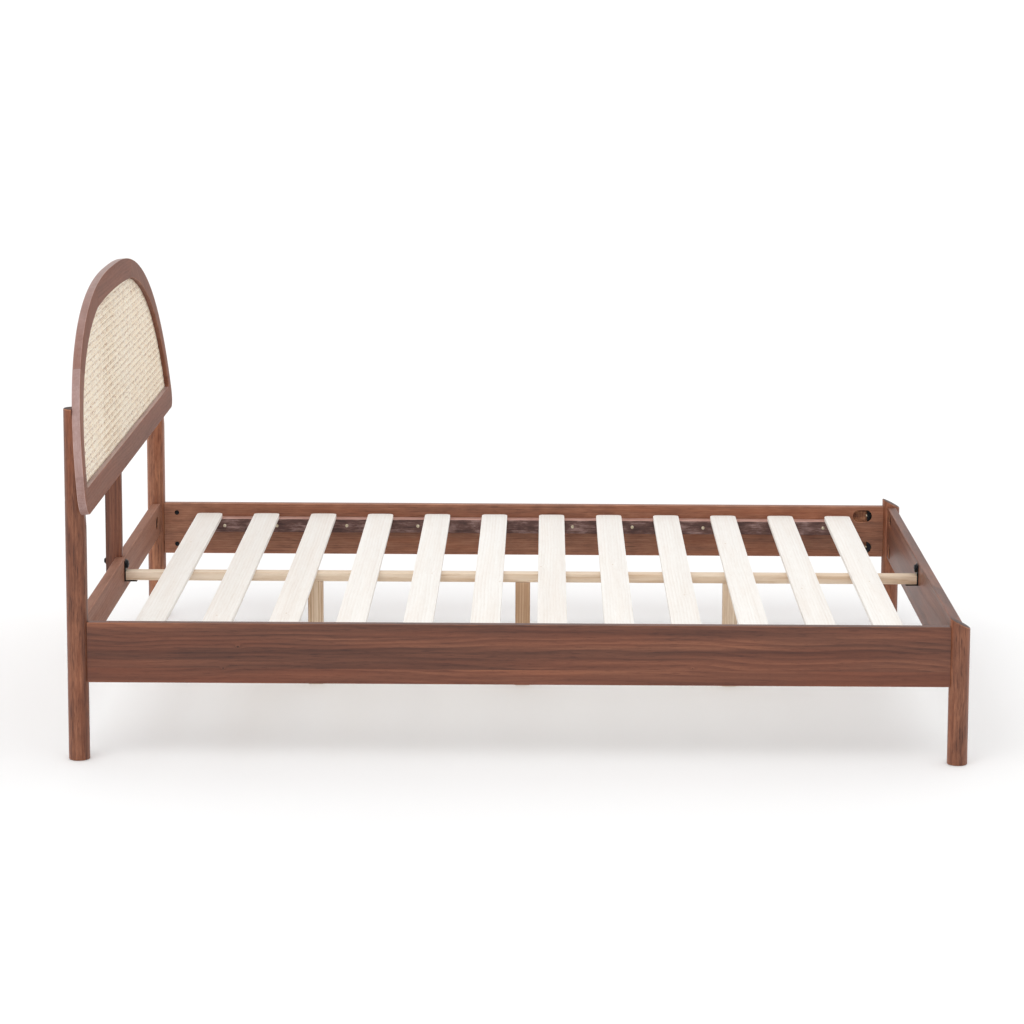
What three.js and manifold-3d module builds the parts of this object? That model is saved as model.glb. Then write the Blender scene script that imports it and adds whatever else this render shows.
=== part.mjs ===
// Bed frame for a 1524 x 2032 mm mattress: four round posts, flat rails, a slatted base with a
// centre rail, and a leaning arched headboard with a cane panel.
// Millimetres, +Z up. The head end is towards -X, the foot end towards +X, and Z = 0 is the floor.
// "near" is the -Y side of the bed and "far" the +Y side.
import * as THREE from "three";
import { mergeVertices } from "three/addons/utils/BufferGeometryUtils.js";
import Module from "manifold-3d";

const wasm = await Module();
wasm.setup();

// ---------------------------------------------------------------- driving dimensions
const GAP = 0.3; // clearance kept between touching pieces
const ROUND_SIDES = 32;
const BOLT_SIDES = 12;

const POST_HALF_X = 1038; // post axes from the middle of the bed
const POST_HALF_Y = 780;
const HEAD_POST = { radius: 25, height: 840, ease: 3 };
const FOOT_POST = { radius: 24, height: 340, ease: 2, slope: 0.5 };

const RAIL = { thick: 23, height: 144, top: 331, ease: 2 };
const HEAD_RAIL_HEIGHT = 90;

const LEDGER = { width: 42, height: 38, top: 294.5, halfLength: 905 };
const SLAT = { count: 12, width: 71, thick: 12.5, halfLength: 748, pitch: 160.5, corner: 13 };
const CENTRE_RAIL = { width: 36, height: 22.4, top: 294.2 };
const LEG = { size: 38, pitch: 537, shift: 5 };
const BRACKET = { width: 36, thick: 3, rise: 50, shelf: 32 };

// The headboard is drawn flat, u across the bed and v up its lean, then leant back as one group.
const LEAN = Math.atan(0.1);
const SEAT = { x: -1017.5, z: 600 }; // a point on the leaning plane of the headboard's back
const BOARD = { thick: 20, halfWidth: 870, rise: 541.5, centre: -51, power: 2.55, bottom: -6 };
const BOARD_CORNER = 45;
const OPENING = { halfWidth: 826, rise: 492, centre: -51, power: 2.55, bottom: 54.3 };
const OPENING_CORNER = 10;
const CROWN = { halfSpan: 337, edge: 421.4, middle: 431.4 }; // flat arc at the opening's top
const REBATE = { ledge: 9, depth: 8 };
const CANE_THICK = 2.4;
const SEGMENT_JOINTS = { side: 88, shoulderAngle: 27.6, crownAngle: 57 };

const SUPPORT = { back: -1075, front: -1033, width: 22, bottom: 262, top: 1078 };

const BOLT_HEIGHTS = [303.5, 213.5];
const HEAD_RAIL_BOLT_HEIGHT = 286;
const BOARD_BOLT_HEIGHT = 624;
const SUPPORT_BOLT_HEIGHTS = { lower: 320, upper: 1069 };
const SHANK = 3; // radius
const CAP = { radius: 5.5, length: 8 };
const WASHER_HEAD = { radius: 10, length: 6 };
const COUNTERBORE = { radius: 7, depth: 12 };
const BARREL = { radius: 6, setback: 58.6, length: 18, proud: 0.8 };
const POCKET = { length: 53.4, height: 34, depth: 17.8, setback: 80.7 };
const POST_BITE = 17; // how deep a pocket bolt reaches into a post

// The frame is built about the middle of its posts and then shifted, so that the origin is
// below the middle of the whole object's length.
const REACH_BACK = -SUPPORT.back + WASHER_HEAD.length;
const REACH_FOOT = POST_HALF_X + FOOT_POST.radius;
const ORIGIN_SHIFT = (REACH_BACK - REACH_FOOT) / 2;

// ---------------------------------------------------------------- materials
const finish = (color, roughness, metalness = 0) => () =>
  new THREE.MeshStandardMaterial({ color, roughness, metalness });
const walnut = finish(0x7d5040, 0.5);
const walnutPost = finish(0x87553c, 0.45);
const roughLedger = finish(0x5a3c33, 0.85);
const paleSlat = finish(0xf0eae0, 0.6);
const pine = finish(0xdcc4a0, 0.6);
const cane = finish(0xeadcc4, 0.65);
const blackSteel = finish(0x1d1d1f, 0.45, 0.7);

// ---------------------------------------------------------------- solids and booleans
function toSolid(geometry) {
  const bare = geometry.clone();
  bare.deleteAttribute("normal");
  bare.deleteAttribute("uv");
  const merged = mergeVertices(bare, 1e-4);
  return new wasm.Manifold(
    new wasm.Mesh({
      numProp: 3,
      vertProperties: new Float32Array(merged.attributes.position.array),
      triVerts: new Uint32Array(merged.index.array),
    }),
  );
}

function toGeometry(solid) {
  const mesh = solid.getMesh();
  const geometry = new THREE.BufferGeometry();
  geometry.setAttribute("position", new THREE.BufferAttribute(mesh.vertProperties, 3));
  geometry.setIndex(new THREE.BufferAttribute(mesh.triVerts, 1));
  geometry.computeVertexNormals();
  return geometry;
}

function carve(body, ...tools) {
  const start = body.isBufferGeometry ? toSolid(body) : body;
  return tools.reduce((solid, tool) => solid.subtract(toSolid(tool)), start);
}

function block(x0, x1, y0, y1, z0, z1) {
  const box = new THREE.BoxGeometry(x1 - x0, y1 - y0, z1 - z0);
  return box.translate((x0 + x1) / 2, (y0 + y1) / 2, (z0 + z1) / 2);
}

// A lathed solid standing on the origin: its profile is a list of [radius, height] from the
// bottom of the axis to its top.
function turned(profile, sides) {
  const points = profile.map(([r, z]) => new THREE.Vector2(r, z));
  return new THREE.LatheGeometry(points, sides).rotateX(Math.PI / 2);
}

// A rod from start, length long, pointing along +x, -x, +y, -y or +z.
const TURN_TO = {
  "+x": (g) => g.rotateY(Math.PI / 2),
  "-x": (g) => g.rotateY(-Math.PI / 2),
  "+y": (g) => g.rotateX(-Math.PI / 2),
  "-y": (g) => g.rotateX(Math.PI / 2),
  "+z": (g) => g,
};

function aim(geometry, way, start) {
  return TURN_TO[way](geometry).translate(...start);
}

function rod(radius, length, way, start, sides = BOLT_SIDES) {
  const profile = [
    [0, 0],
    [radius, 0],
    [radius, length],
    [0, length],
  ];
  return aim(turned(profile, sides), way, start);
}

// A bolt whose head sits at start and whose shank runs on past it.
function bolt(head, shankLength, way, start) {
  const chamfer = 1;
  const profile = [
    [0, 0],
    [head.radius - chamfer, 0],
    [head.radius, chamfer],
    [head.radius, head.length],
    [SHANK, head.length],
    [SHANK, head.length + shankLength],
    [0, head.length + shankLength],
  ];
  return aim(turned(profile, BOLT_SIDES), way, start);
}

const shankHole = (length, way, start) => rod(SHANK + GAP, length, way, start);

// ---------------------------------------------------------------- rails and bars
// A rectangular section with eased long edges.
function easedSection(width, height, ease) {
  const x = width / 2;
  const y = height / 2;
  const shape = new THREE.Shape();
  shape.moveTo(-x + ease, -y);
  shape.lineTo(x - ease, -y);
  shape.lineTo(x, -y + ease);
  shape.lineTo(x, y - ease);
  shape.lineTo(x - ease, y);
  shape.lineTo(-x + ease, y);
  shape.lineTo(-x, y - ease);
  shape.lineTo(-x, -y + ease);
  return shape;
}

function extruded(shape, depth) {
  return new THREE.ExtrudeGeometry(shape, { depth, bevelEnabled: false, curveSegments: 8 });
}

function barAlongX(width, height, ease, halfLength, y, top) {
  const bar = extruded(easedSection(height, width, ease), 2 * halfLength);
  return bar.rotateY(Math.PI / 2).translate(-halfLength, y, top - height / 2);
}

function barAlongY(width, height, ease, halfLength, x, top) {
  const bar = extruded(easedSection(width, height, ease), 2 * halfLength);
  return bar.rotateX(-Math.PI / 2).translate(x, -halfLength, top - height / 2);
}

const postRound = (radius, x, y) => rod(radius + GAP, 1000, "+z", [x, y, -50], ROUND_SIDES);

// A round-ended pocket milled into a rail's inner face. centre is on that face, and way is the
// direction in which the cutter goes in.
function pocket(way, centre) {
  const straight = (POCKET.length - POCKET.height) / 2;
  const end = POCKET.height / 2;
  const shape = new THREE.Shape();
  shape.absarc(straight, 0, end, -Math.PI / 2, Math.PI / 2);
  shape.absarc(-straight, 0, end, Math.PI / 2, (3 * Math.PI) / 2);
  const over = 2; // the cutter starts outside the face
  const slab = extruded(shape, POCKET.depth + over).translate(0, 0, -over);
  return aim(way.endsWith("x") ? slab.rotateZ(Math.PI / 2) : slab, way, centre);
}

// ---------------------------------------------------------------- posts
function leaningPlaneCutter(clearance) {
  const reach = 400;
  const cutter = block(-clearance, reach, -reach, reach, -reach, reach);
  return cutter.rotateY(-LEAN).translate(SEAT.x, 0, SEAT.z);
}

function headPost(side) {
  const { radius, height, ease } = HEAD_POST;
  const profile = [
    [0, 0],
    [radius - ease, 0],
    [radius, ease],
    [radius, height - ease],
    [radius - ease, height],
    [0, height],
  ];
  const y = side * POST_HALF_Y;
  const back = -POST_HALF_X - radius;
  const post = turned(profile, ROUND_SIDES).translate(-POST_HALF_X, y, 0);
  const boltHoles = BOLT_HEIGHTS.flatMap((z) => [
    rod(COUNTERBORE.radius, COUNTERBORE.depth + 5, "+x", [back - 5, y, z]),
    shankHole(2 * radius + 10, "+x", [back, y, z]),
  ]);
  const boardBoltHoles = [
    rod(COUNTERBORE.radius, COUNTERBORE.depth + 5, "+x", [back - 5, y, BOARD_BOLT_HEIGHT]),
    shankHole(2 * radius + 10, "+x", [back, y, BOARD_BOLT_HEIGHT]),
  ];
  const innerFace = y - side * radius;
  const bite = POST_BITE + 2;
  const start = [-POST_HALF_X, innerFace - side * 2, HEAD_RAIL_BOLT_HEIGHT];
  const headRailHole = shankHole(bite + 2, side > 0 ? "+y" : "-y", start);
  const seat = leaningPlaneCutter(GAP).translate(0, y, 0);
  return carve(post, seat, ...boltHoles, ...boardBoltHoles, headRailHole);
}

function footPost(side) {
  const { radius, height, ease, slope } = FOOT_POST;
  const tall = height + 2 * radius * slope;
  const profile = [
    [0, 0],
    [radius - ease, 0],
    [radius, ease],
    [radius, tall],
    [0, tall],
  ];
  const y = side * POST_HALF_Y;
  const post = turned(profile, ROUND_SIDES).translate(POST_HALF_X, y, 0);
  const topCut = block(-100, 100, -60, 60, 0, 100)
    .rotateY(Math.atan(slope))
    .translate(POST_HALF_X, y, height);
  const bite = POST_BITE + 2;
  const holes = BOLT_HEIGHTS.flatMap((z) => [
    shankHole(bite + 5, "+x", [POST_HALF_X - radius - 5, y, z]),
    shankHole(bite + 5, side > 0 ? "+y" : "-y", [POST_HALF_X, y - side * (radius + 5), z]),
  ]);
  return carve(post, topCut, ...holes);
}

// ---------------------------------------------------------------- rails
function sideRail(side) {
  const y = side * POST_HALF_Y;
  const innerFace = y - (side * RAIL.thick) / 2;
  const inward = side > 0 ? "+y" : "-y";
  const bar = barAlongX(RAIL.thick, RAIL.height, RAIL.ease, POST_HALF_X, y, RAIL.top);
  const barrelX = -POST_HALF_X + BARREL.setback;
  const pocketX = POST_HALF_X - POCKET.setback;
  const over = side * 2;
  const cuts = BOLT_HEIGHTS.flatMap((z) => [
    shankHole(BARREL.setback + 16, "+x", [-POST_HALF_X, y, z]),
    rod(BARREL.radius + GAP, BARREL.length + 3, inward, [barrelX, innerFace - over, z]),
    pocket(inward, [pocketX, innerFace, z]),
    shankHole(POCKET.setback, "+x", [pocketX, y, z]),
  ]);
  return carve(
    bar,
    postRound(HEAD_POST.radius, -POST_HALF_X, y),
    postRound(FOOT_POST.radius, POST_HALF_X, y),
    ...cuts,
  );
}

// A rail across the bed, with pocket bolts at both ends. inward is +1 where the inner face
// looks towards +X.
function crossRail(x, inward, height, postRadius, boltHeights) {
  const bar = barAlongY(RAIL.thick, height, RAIL.ease, POST_HALF_Y, x, RAIL.top);
  const innerFace = x + (inward * RAIL.thick) / 2;
  const pocketY = POST_HALF_Y - POCKET.setback;
  const cuts = boltHeights.flatMap((z) =>
    [-1, 1].flatMap((side) => [
      pocket(inward > 0 ? "-x" : "+x", [innerFace, side * pocketY, z]),
      shankHole(POCKET.setback, side > 0 ? "+y" : "-y", [x, side * pocketY, z]),
    ]),
  );
  const posts = [-1, 1].map((side) => postRound(postRadius, x, side * POST_HALF_Y));
  return carve(bar, ...posts, ...cuts);
}

function headRail() {
  const x = -POST_HALF_X;
  const rail = crossRail(x, 1, HEAD_RAIL_HEIGHT, HEAD_POST.radius, [HEAD_RAIL_BOLT_HEIGHT]);
  const start = [x - RAIL.thick / 2 - 5, 0, SUPPORT_BOLT_HEIGHTS.lower];
  return carve(rail, shankHole(RAIL.thick + 2, "+x", start));
}

function footRail() {
  return crossRail(POST_HALF_X, -1, RAIL.height, FOOT_POST.radius, BOLT_HEIGHTS);
}

// ---------------------------------------------------------------- slatted base
const railInnerFace = RAIL.thick / 2 + GAP;

function ledger(side) {
  const y = side * (POST_HALF_Y - railInnerFace - LEDGER.width / 2);
  return barAlongX(LEDGER.width, LEDGER.height, 1, LEDGER.halfLength, y, LEDGER.top);
}

function slat(index) {
  const x = (index - (SLAT.count - 1) / 2) * SLAT.pitch;
  const w = SLAT.width / 2;
  const l = SLAT.halfLength;
  const r = SLAT.corner;
  const quarter = Math.PI / 2;
  const shape = new THREE.Shape();
  shape.absarc(w - r, l - r, r, 0, quarter);
  shape.absarc(-w + r, l - r, r, quarter, 2 * quarter);
  shape.absarc(-w + r, -l + r, r, 2 * quarter, 3 * quarter);
  shape.absarc(w - r, -l + r, r, 3 * quarter, 4 * quarter);
  const plate = new THREE.ExtrudeGeometry(shape, {
    depth: SLAT.thick,
    bevelEnabled: false,
    curveSegments: 4,
  });
  return plate.translate(x, 0, LEDGER.top + GAP);
}

function centreRail() {
  const halfLength = POST_HALF_X - RAIL.thick / 2 - BRACKET.thick - 2 * GAP;
  return barAlongX(CENTRE_RAIL.width, CENTRE_RAIL.height, 1.5, halfLength, 0, CENTRE_RAIL.top);
}

const centreRailBottom = CENTRE_RAIL.top - CENTRE_RAIL.height;

function centreLeg(index) {
  const x = (index - 1) * LEG.pitch + LEG.shift;
  const shape = easedSection(LEG.size, LEG.size, 2);
  return extruded(shape, centreRailBottom - GAP).translate(x, 0, 0);
}

// An L-shaped bracket: a plate on the cross rail's inner face, and a shelf under the centre rail.
function bracket(end) {
  const face = POST_HALF_X - railInnerFace;
  const shelfTop = centreRailBottom - GAP;
  const { thick, rise, shelf } = BRACKET;
  const shape = new THREE.Shape();
  shape.moveTo(0, -thick);
  shape.lineTo(0, rise);
  shape.lineTo(-thick, rise);
  shape.lineTo(-thick, 0);
  shape.lineTo(-shelf, 0);
  shape.lineTo(-shelf, -thick);
  const angle = extruded(shape, BRACKET.width).rotateX(Math.PI / 2);
  angle.translate(face, BRACKET.width / 2, shelfTop);
  return end > 0 ? angle : angle.rotateZ(Math.PI);
}

// ---------------------------------------------------------------- headboard, in u and v
// Height of a superelliptic arch over its centre line at u.
function archHeight({ halfWidth, rise, power }, u) {
  const t = Math.min(1, Math.abs(u) / halfWidth);
  return rise * (1 - t ** power) ** (1 / power);
}

// Half width of the arch at height v.
function archHalfWidth({ halfWidth, rise, power, centre }, v) {
  const t = Math.min(1, (v - centre) / rise);
  return halfWidth * (1 - t ** power) ** (1 / power);
}

// A flat-bottomed arch with rounded bottom corners. topLimit gives the greatest v at u.
function archShape(arch, corner, steps, topLimit = () => Infinity) {
  const { halfWidth, rise, power, centre, bottom } = arch;
  const shoulder = bottom + corner;
  const side = archHalfWidth(arch, shoulder);
  const start = Math.asin(((shoulder - centre) / rise) ** (power / 2));
  const shape = new THREE.Shape();
  shape.absarc(side - corner, shoulder, corner, -Math.PI / 2, 0);
  const flank = [];
  for (let i = 1; i <= steps; i += 1) {
    const angle = start + ((Math.PI / 2 - start) * i) / steps;
    const u = halfWidth * Math.cos(angle) ** (2 / power);
    const v = centre + rise * Math.sin(angle) ** (2 / power);
    flank.push([u, Math.min(v, topLimit(u))]);
  }
  flank.forEach(([u, v]) => shape.lineTo(u, v));
  flank
    .slice(0, -1)
    .reverse()
    .forEach(([u, v]) => shape.lineTo(-u, v));
  shape.absarc(-side + corner, shoulder, corner, Math.PI, (3 * Math.PI) / 2);
  return shape;
}

// The opening's top is a flat arc between the two shoulder joints.
function crownLimit(grow) {
  const sagitta = CROWN.middle - CROWN.edge;
  return (u) => CROWN.middle + grow - sagitta * (u / CROWN.halfSpan) ** 2;
}

function grownOpening(grow) {
  const arch = {
    ...OPENING,
    halfWidth: OPENING.halfWidth + grow,
    rise: OPENING.rise + grow,
    bottom: OPENING.bottom - grow,
  };
  return archShape(arch, OPENING_CORNER, 28, crownLimit(grow));
}

function slab(shape, from, to) {
  const plate = new THREE.ExtrudeGeometry(shape, {
    depth: to - from,
    bevelEnabled: false,
    curveSegments: 5,
  });
  return plate.translate(0, 0, from);
}

// Turns a piece drawn in (u, v, forward) to its place: u along +Y, v up the lean.
function lean(geometry) {
  const upright = new THREE.Matrix4().set(0, 0, 1, 0, 1, 0, 0, 0, 0, 1, 0, 0, 0, 0, 0, 1);
  return geometry.applyMatrix4(upright).rotateY(-LEAN).translate(SEAT.x, 0, SEAT.z);
}

function boardRing() {
  const outer = slab(archShape(BOARD, BOARD_CORNER, 32), 0, BOARD.thick);
  const opening = slab(grownOpening(0), -5, BOARD.thick + 5);
  const rebate = slab(grownOpening(REBATE.ledge), -5, REBATE.depth);
  return carve(outer, opening, rebate);
}

// A thin saw cut across the ring, from the arch's centre outwards at an angle.
function kerf(angle) {
  const long = 1400;
  const cut = block(0, long, -GAP / 2, GAP / 2, -50, 50);
  return cut.rotateZ(angle).translate(0, BOARD.centre, 0);
}

// The part of the board's plane between two angles, from below or above the side joint.
function sector(from, to) {
  const long = 3000;
  const shape = new THREE.Shape();
  shape.moveTo(0, BOARD.centre);
  shape.lineTo(long * Math.cos(from), BOARD.centre + long * Math.sin(from));
  shape.lineTo(long * Math.cos(to), BOARD.centre + long * Math.sin(to));
  return slab(shape, -50, 50);
}

function boardSegments() {
  const ring = boardRing();
  const { side, shoulderAngle, crownAngle } = SEGMENT_JOINTS;
  const shoulder = THREE.MathUtils.degToRad(shoulderAngle);
  const crown = THREE.MathUtils.degToRad(crownAngle);
  const kerfs = [shoulder, crown, Math.PI - crown, Math.PI - shoulder].map(kerf);
  const sawn = carve(ring, ...kerfs);
  const below = block(-1000, 1000, -100, side - GAP / 2, -50, 50);
  const above = block(-1000, 1000, -100, side + GAP / 2, -50, 50);
  const upper = carve(sawn, above);
  const take = (from, to) => upper.intersect(toSolid(sector(from, to)));
  return {
    bottom_rail: toSolid(below).intersect(ring),
    side_far: take(0, shoulder),
    shoulder_far: take(shoulder, crown),
    crown: take(crown, Math.PI - crown),
    shoulder_near: take(Math.PI - crown, Math.PI - shoulder),
    side_near: take(Math.PI - shoulder, Math.PI),
  };
}

function canePanel() {
  const front = REBATE.depth - GAP;
  return lean(slab(grownOpening(REBATE.ledge - 0.5), front - CANE_THICK, front));
}

function retainingStrip() {
  const back = REBATE.depth - 2 * GAP - CANE_THICK;
  const plate = slab(grownOpening(REBATE.ledge - 0.5), GAP, back);
  const opening = slab(grownOpening(0.5), -5, BOARD.thick);
  return lean(toGeometry(carve(plate, opening)));
}

// ---------------------------------------------------------------- headboard support
function leanX(z) {
  return SEAT.x - (z - SEAT.z) * Math.tan(LEAN);
}

function headboardSupport() {
  const { back, front, width, bottom, top } = SUPPORT;
  const railBack = -POST_HALF_X - RAIL.thick / 2 - GAP;
  const clearance = GAP / Math.cos(LEAN);
  const meets = SEAT.z + (SEAT.x - clearance - front) / Math.tan(LEAN);
  const shape = new THREE.Shape();
  shape.moveTo(back, bottom);
  shape.lineTo(railBack, bottom);
  shape.lineTo(railBack, RAIL.top + GAP);
  shape.lineTo(front, RAIL.top + GAP);
  shape.lineTo(front, meets);
  shape.lineTo(leanX(top) - clearance, top);
  shape.lineTo(back, top);
  const board = extruded(shape, width).rotateX(Math.PI / 2).translate(0, width / 2, 0);
  const holes = Object.values(SUPPORT_BOLT_HEIGHTS).map((z) =>
    shankHole(60, "+x", [back - 5, 0, z]),
  );
  return carve(board, ...holes);
}

// Bolt holes in the board's back, for the posts' bolts and the support's upper bolt.
function drillBoard(segments) {
  const into = (z) => leanX(z) + BOARD_BITE + 2;
  const postHoles = [-1, 1].map((side) =>
    shankHole(
      into(BOARD_BOLT_HEIGHT) + POST_HALF_X,
      "+x",
      [-POST_HALF_X, side * POST_HALF_Y, BOARD_BOLT_HEIGHT],
    ),
  );
  const upper = SUPPORT_BOLT_HEIGHTS.upper;
  const supportHole = shankHole(into(upper) - SUPPORT.back, "+x", [SUPPORT.back, 0, upper]);
  const placed = Object.entries(segments).map(([name, solid]) => [
    name,
    lean(toGeometry(solid)),
  ]);
  const drilled = Object.fromEntries(placed);
  drilled.bottom_rail = toGeometry(carve(drilled.bottom_rail, ...postHoles));
  drilled.crown = toGeometry(carve(drilled.crown, supportHole));
  return drilled;
}

// ---------------------------------------------------------------- fasteners
const BOARD_BITE = 12; // how deep a bolt reaches into the headboard

function headEndBolt(side, z) {
  const seat = -POST_HALF_X - HEAD_POST.radius + COUNTERBORE.depth - GAP;
  const tip = -POST_HALF_X + BARREL.setback + 14;
  return bolt(CAP, tip - seat, "+x", [seat - CAP.length, side * POST_HALF_Y, z]);
}

function barrelNut(side, z) {
  const x = -POST_HALF_X + BARREL.setback;
  const y = side * POST_HALF_Y;
  const mouth = y - side * (RAIL.thick / 2 + BARREL.proud);
  const nut = rod(BARREL.radius, BARREL.length, side > 0 ? "+y" : "-y", [x, mouth, z]);
  return carve(nut, shankHole(2 * BARREL.radius + 10, "+x", [x - BARREL.radius - 5, y, z]));
}

// A bolt in a pocket. Its head sits 1.2 mm short of the pocket's rounded end.
function pocketBolt(way, reach, postRadius, along) {
  const pocketEnd = POCKET.setback - POCKET.length / 2;
  const seat = pocketEnd + 1.2;
  const shank = seat - postRadius + POST_BITE;
  return bolt(CAP, shank, way, along(reach - seat - CAP.length));
}

function sideRailFootBolt(side, z) {
  const along = (x) => [x, side * POST_HALF_Y, z];
  return pocketBolt("+x", POST_HALF_X, FOOT_POST.radius, along);
}

function crossRailBolt(x, side, z, postRadius) {
  const along = (y) => [x, side * y, z];
  return pocketBolt(side > 0 ? "+y" : "-y", POST_HALF_Y, postRadius, along);
}

function boardBolt(side) {
  const seat = -POST_HALF_X - HEAD_POST.radius + COUNTERBORE.depth - GAP;
  const tip = leanX(BOARD_BOLT_HEIGHT) + BOARD_BITE;
  const start = [seat - CAP.length, side * POST_HALF_Y, BOARD_BOLT_HEIGHT];
  return bolt(CAP, tip - seat, "+x", start);
}

function supportBolt(z, tip) {
  const seat = SUPPORT.back - GAP;
  return bolt(WASHER_HEAD, tip - seat, "+x", [seat - WASHER_HEAD.length + GAP, 0, z]);
}

// ---------------------------------------------------------------- the assembly
const bed = new THREE.Group();
bed.position.x = ORIGIN_SHIFT;

function add(name, shape, makeMaterial) {
  const geometry = shape.isBufferGeometry ? shape : toGeometry(shape);
  const mesh = new THREE.Mesh(geometry, makeMaterial());
  mesh.name = name;
  bed.add(mesh);
}

const SIDES = [
  ["near", -1],
  ["far", 1],
];
const LEVELS = [
  ["upper", BOLT_HEIGHTS[0]],
  ["lower", BOLT_HEIGHTS[1]],
];

for (const [label, side] of SIDES) {
  add(`head_post_${label}`, headPost(side), walnutPost);
  add(`foot_post_${label}`, footPost(side), walnutPost);
  add(`side_rail_${label}`, sideRail(side), walnut);
  add(`slat_ledger_${label}`, ledger(side), roughLedger);
  add(`headboard_bolt_${label}`, boardBolt(side), blackSteel);
  const headRailBolt = crossRailBolt(
    -POST_HALF_X,
    side,
    HEAD_RAIL_BOLT_HEIGHT,
    HEAD_POST.radius,
  );
  add(`head_rail_bolt_${label}`, headRailBolt, blackSteel);
  for (const [level, z] of LEVELS) {
    add(`side_rail_head_bolt_${label}_${level}`, headEndBolt(side, z), blackSteel);
    add(`barrel_nut_${label}_${level}`, barrelNut(side, z), blackSteel);
    add(`side_rail_foot_bolt_${label}_${level}`, sideRailFootBolt(side, z), blackSteel);
    const footBolt = crossRailBolt(POST_HALF_X, side, z, FOOT_POST.radius);
    add(`foot_rail_bolt_${label}_${level}`, footBolt, blackSteel);
  }
}

add("head_rail", headRail(), walnut);
add("foot_rail", footRail(), walnut);

for (let i = 0; i < SLAT.count; i += 1) {
  add(`slat_${String(i + 1).padStart(2, "0")}`, slat(i), paleSlat);
}
add("centre_rail", centreRail(), pine);
["head", "middle", "foot"].forEach((place, i) => {
  add(`centre_leg_${place}`, centreLeg(i), pine);
});
add("centre_bracket_head", bracket(-1), blackSteel);
add("centre_bracket_foot", bracket(1), blackSteel);

for (const [name, piece] of Object.entries(drillBoard(boardSegments()))) {
  add(`headboard_${name}`, piece, walnut);
}
add("cane_panel", canePanel(), cane);
add("cane_retaining_strip", retainingStrip(), walnut);
add("headboard_support", headboardSupport(), walnut);
const railTip = -POST_HALF_X + RAIL.thick / 2 - 4;
add("support_bolt_lower", supportBolt(SUPPORT_BOLT_HEIGHTS.lower, railTip), blackSteel);
const crownTip = leanX(SUPPORT_BOLT_HEIGHTS.upper) + BOARD_BITE;
add("support_bolt_upper", supportBolt(SUPPORT_BOLT_HEIGHTS.upper, crownTip), blackSteel);

export default bed;
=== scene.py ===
"""The looks of a walnut-stained bed frame with a cane headboard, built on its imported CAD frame.

Lengths are in metres. The head end is towards -X, the foot end towards +X, "near" is the -Y side
and "far" the +Y side. The headboard is drawn flat and then leant back: see leaning().
"""

import math
import random

import bmesh
import bpy
from mathutils import Matrix, Vector


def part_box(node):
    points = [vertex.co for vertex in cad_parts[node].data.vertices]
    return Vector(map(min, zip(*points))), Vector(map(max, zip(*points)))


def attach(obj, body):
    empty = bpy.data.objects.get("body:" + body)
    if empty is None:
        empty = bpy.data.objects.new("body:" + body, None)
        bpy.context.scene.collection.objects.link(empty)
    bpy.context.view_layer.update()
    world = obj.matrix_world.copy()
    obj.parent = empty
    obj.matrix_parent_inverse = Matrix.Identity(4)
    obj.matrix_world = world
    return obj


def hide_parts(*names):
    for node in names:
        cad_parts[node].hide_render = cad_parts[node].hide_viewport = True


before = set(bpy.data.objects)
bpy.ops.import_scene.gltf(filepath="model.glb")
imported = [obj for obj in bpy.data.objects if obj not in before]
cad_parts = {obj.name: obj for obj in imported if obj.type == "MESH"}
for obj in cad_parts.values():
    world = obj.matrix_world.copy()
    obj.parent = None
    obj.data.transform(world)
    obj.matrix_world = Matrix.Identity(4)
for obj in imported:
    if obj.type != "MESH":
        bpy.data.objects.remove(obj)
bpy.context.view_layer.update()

MM = 0.001
GAP = 0.3 * MM
SIDES = {"near": -1, "far": 1}
X_AXIS = Vector((1, 0, 0))
Y_AXIS = Vector((0, 1, 0))
Z_AXIS = Vector((0, 0, 1))
CORNERS = ((1, 1), (-1, 1), (-1, -1), (1, -1))


# ---- places taken from the frame
def measures(node):
    """A node's lowest and highest corners, its centre, and half its size."""
    low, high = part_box(node)
    return low, high, (low + high) / 2, (high - low) / 2


def centre(node):
    return measures(node)[2]


def half_size(node):
    return measures(node)[3]


HEAD_POST = centre("head_post_far")
FOOT_POST = centre("foot_post_far")
HEAD_RADIUS = half_size("head_post_far").x
FOOT_RADIUS = half_size("foot_post_far").x
HEAD_POST_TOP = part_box("head_post_far")[1].z
FOOT_POST_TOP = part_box("foot_post_far")[1].z
MIDDLE_X = (HEAD_POST.x + FOOT_POST.x) / 2
HALF_X = (FOOT_POST.x - HEAD_POST.x) / 2
HALF_Y = HEAD_POST.y

RAIL_THICK = 2 * half_size("side_rail_far").y
RAIL_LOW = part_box("side_rail_far")[0].z
RAIL_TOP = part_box("side_rail_far")[1].z
HEAD_RAIL_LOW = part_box("head_rail")[0].z
LEVELS = ("upper", "lower")
BOLT_HEIGHTS = {level: centre(f"side_rail_foot_bolt_near_{level}").z for level in LEVELS}
HEAD_RAIL_BOLT_HEIGHT = centre("head_rail_bolt_near").z
BOARD_BOLT_HEIGHT = centre("headboard_bolt_near").z


# ---- mesh building
def loft(outlines):
    """A closed solid through outlines that all have the same number of points."""
    bm = bmesh.new()
    rings = [[bm.verts.new(point) for point in outline] for outline in outlines]
    count = len(rings[0])
    for lower, upper in zip(rings, rings[1:]):
        for i in range(count):
            j = (i + 1) % count
            bm.faces.new((lower[i], lower[j], upper[j], upper[i]))
    bm.faces.new(reversed(rings[0]))
    bm.faces.new(rings[-1])
    bmesh.ops.recalc_face_normals(bm, faces=bm.faces)
    return bm


def quarter(steps):
    """Sine and cosine of angles from 0 to 90 degrees."""
    angles = [math.pi / 2 * i / steps for i in range(steps + 1)]
    return [(math.sin(a), math.cos(a)) for a in angles]


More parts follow.
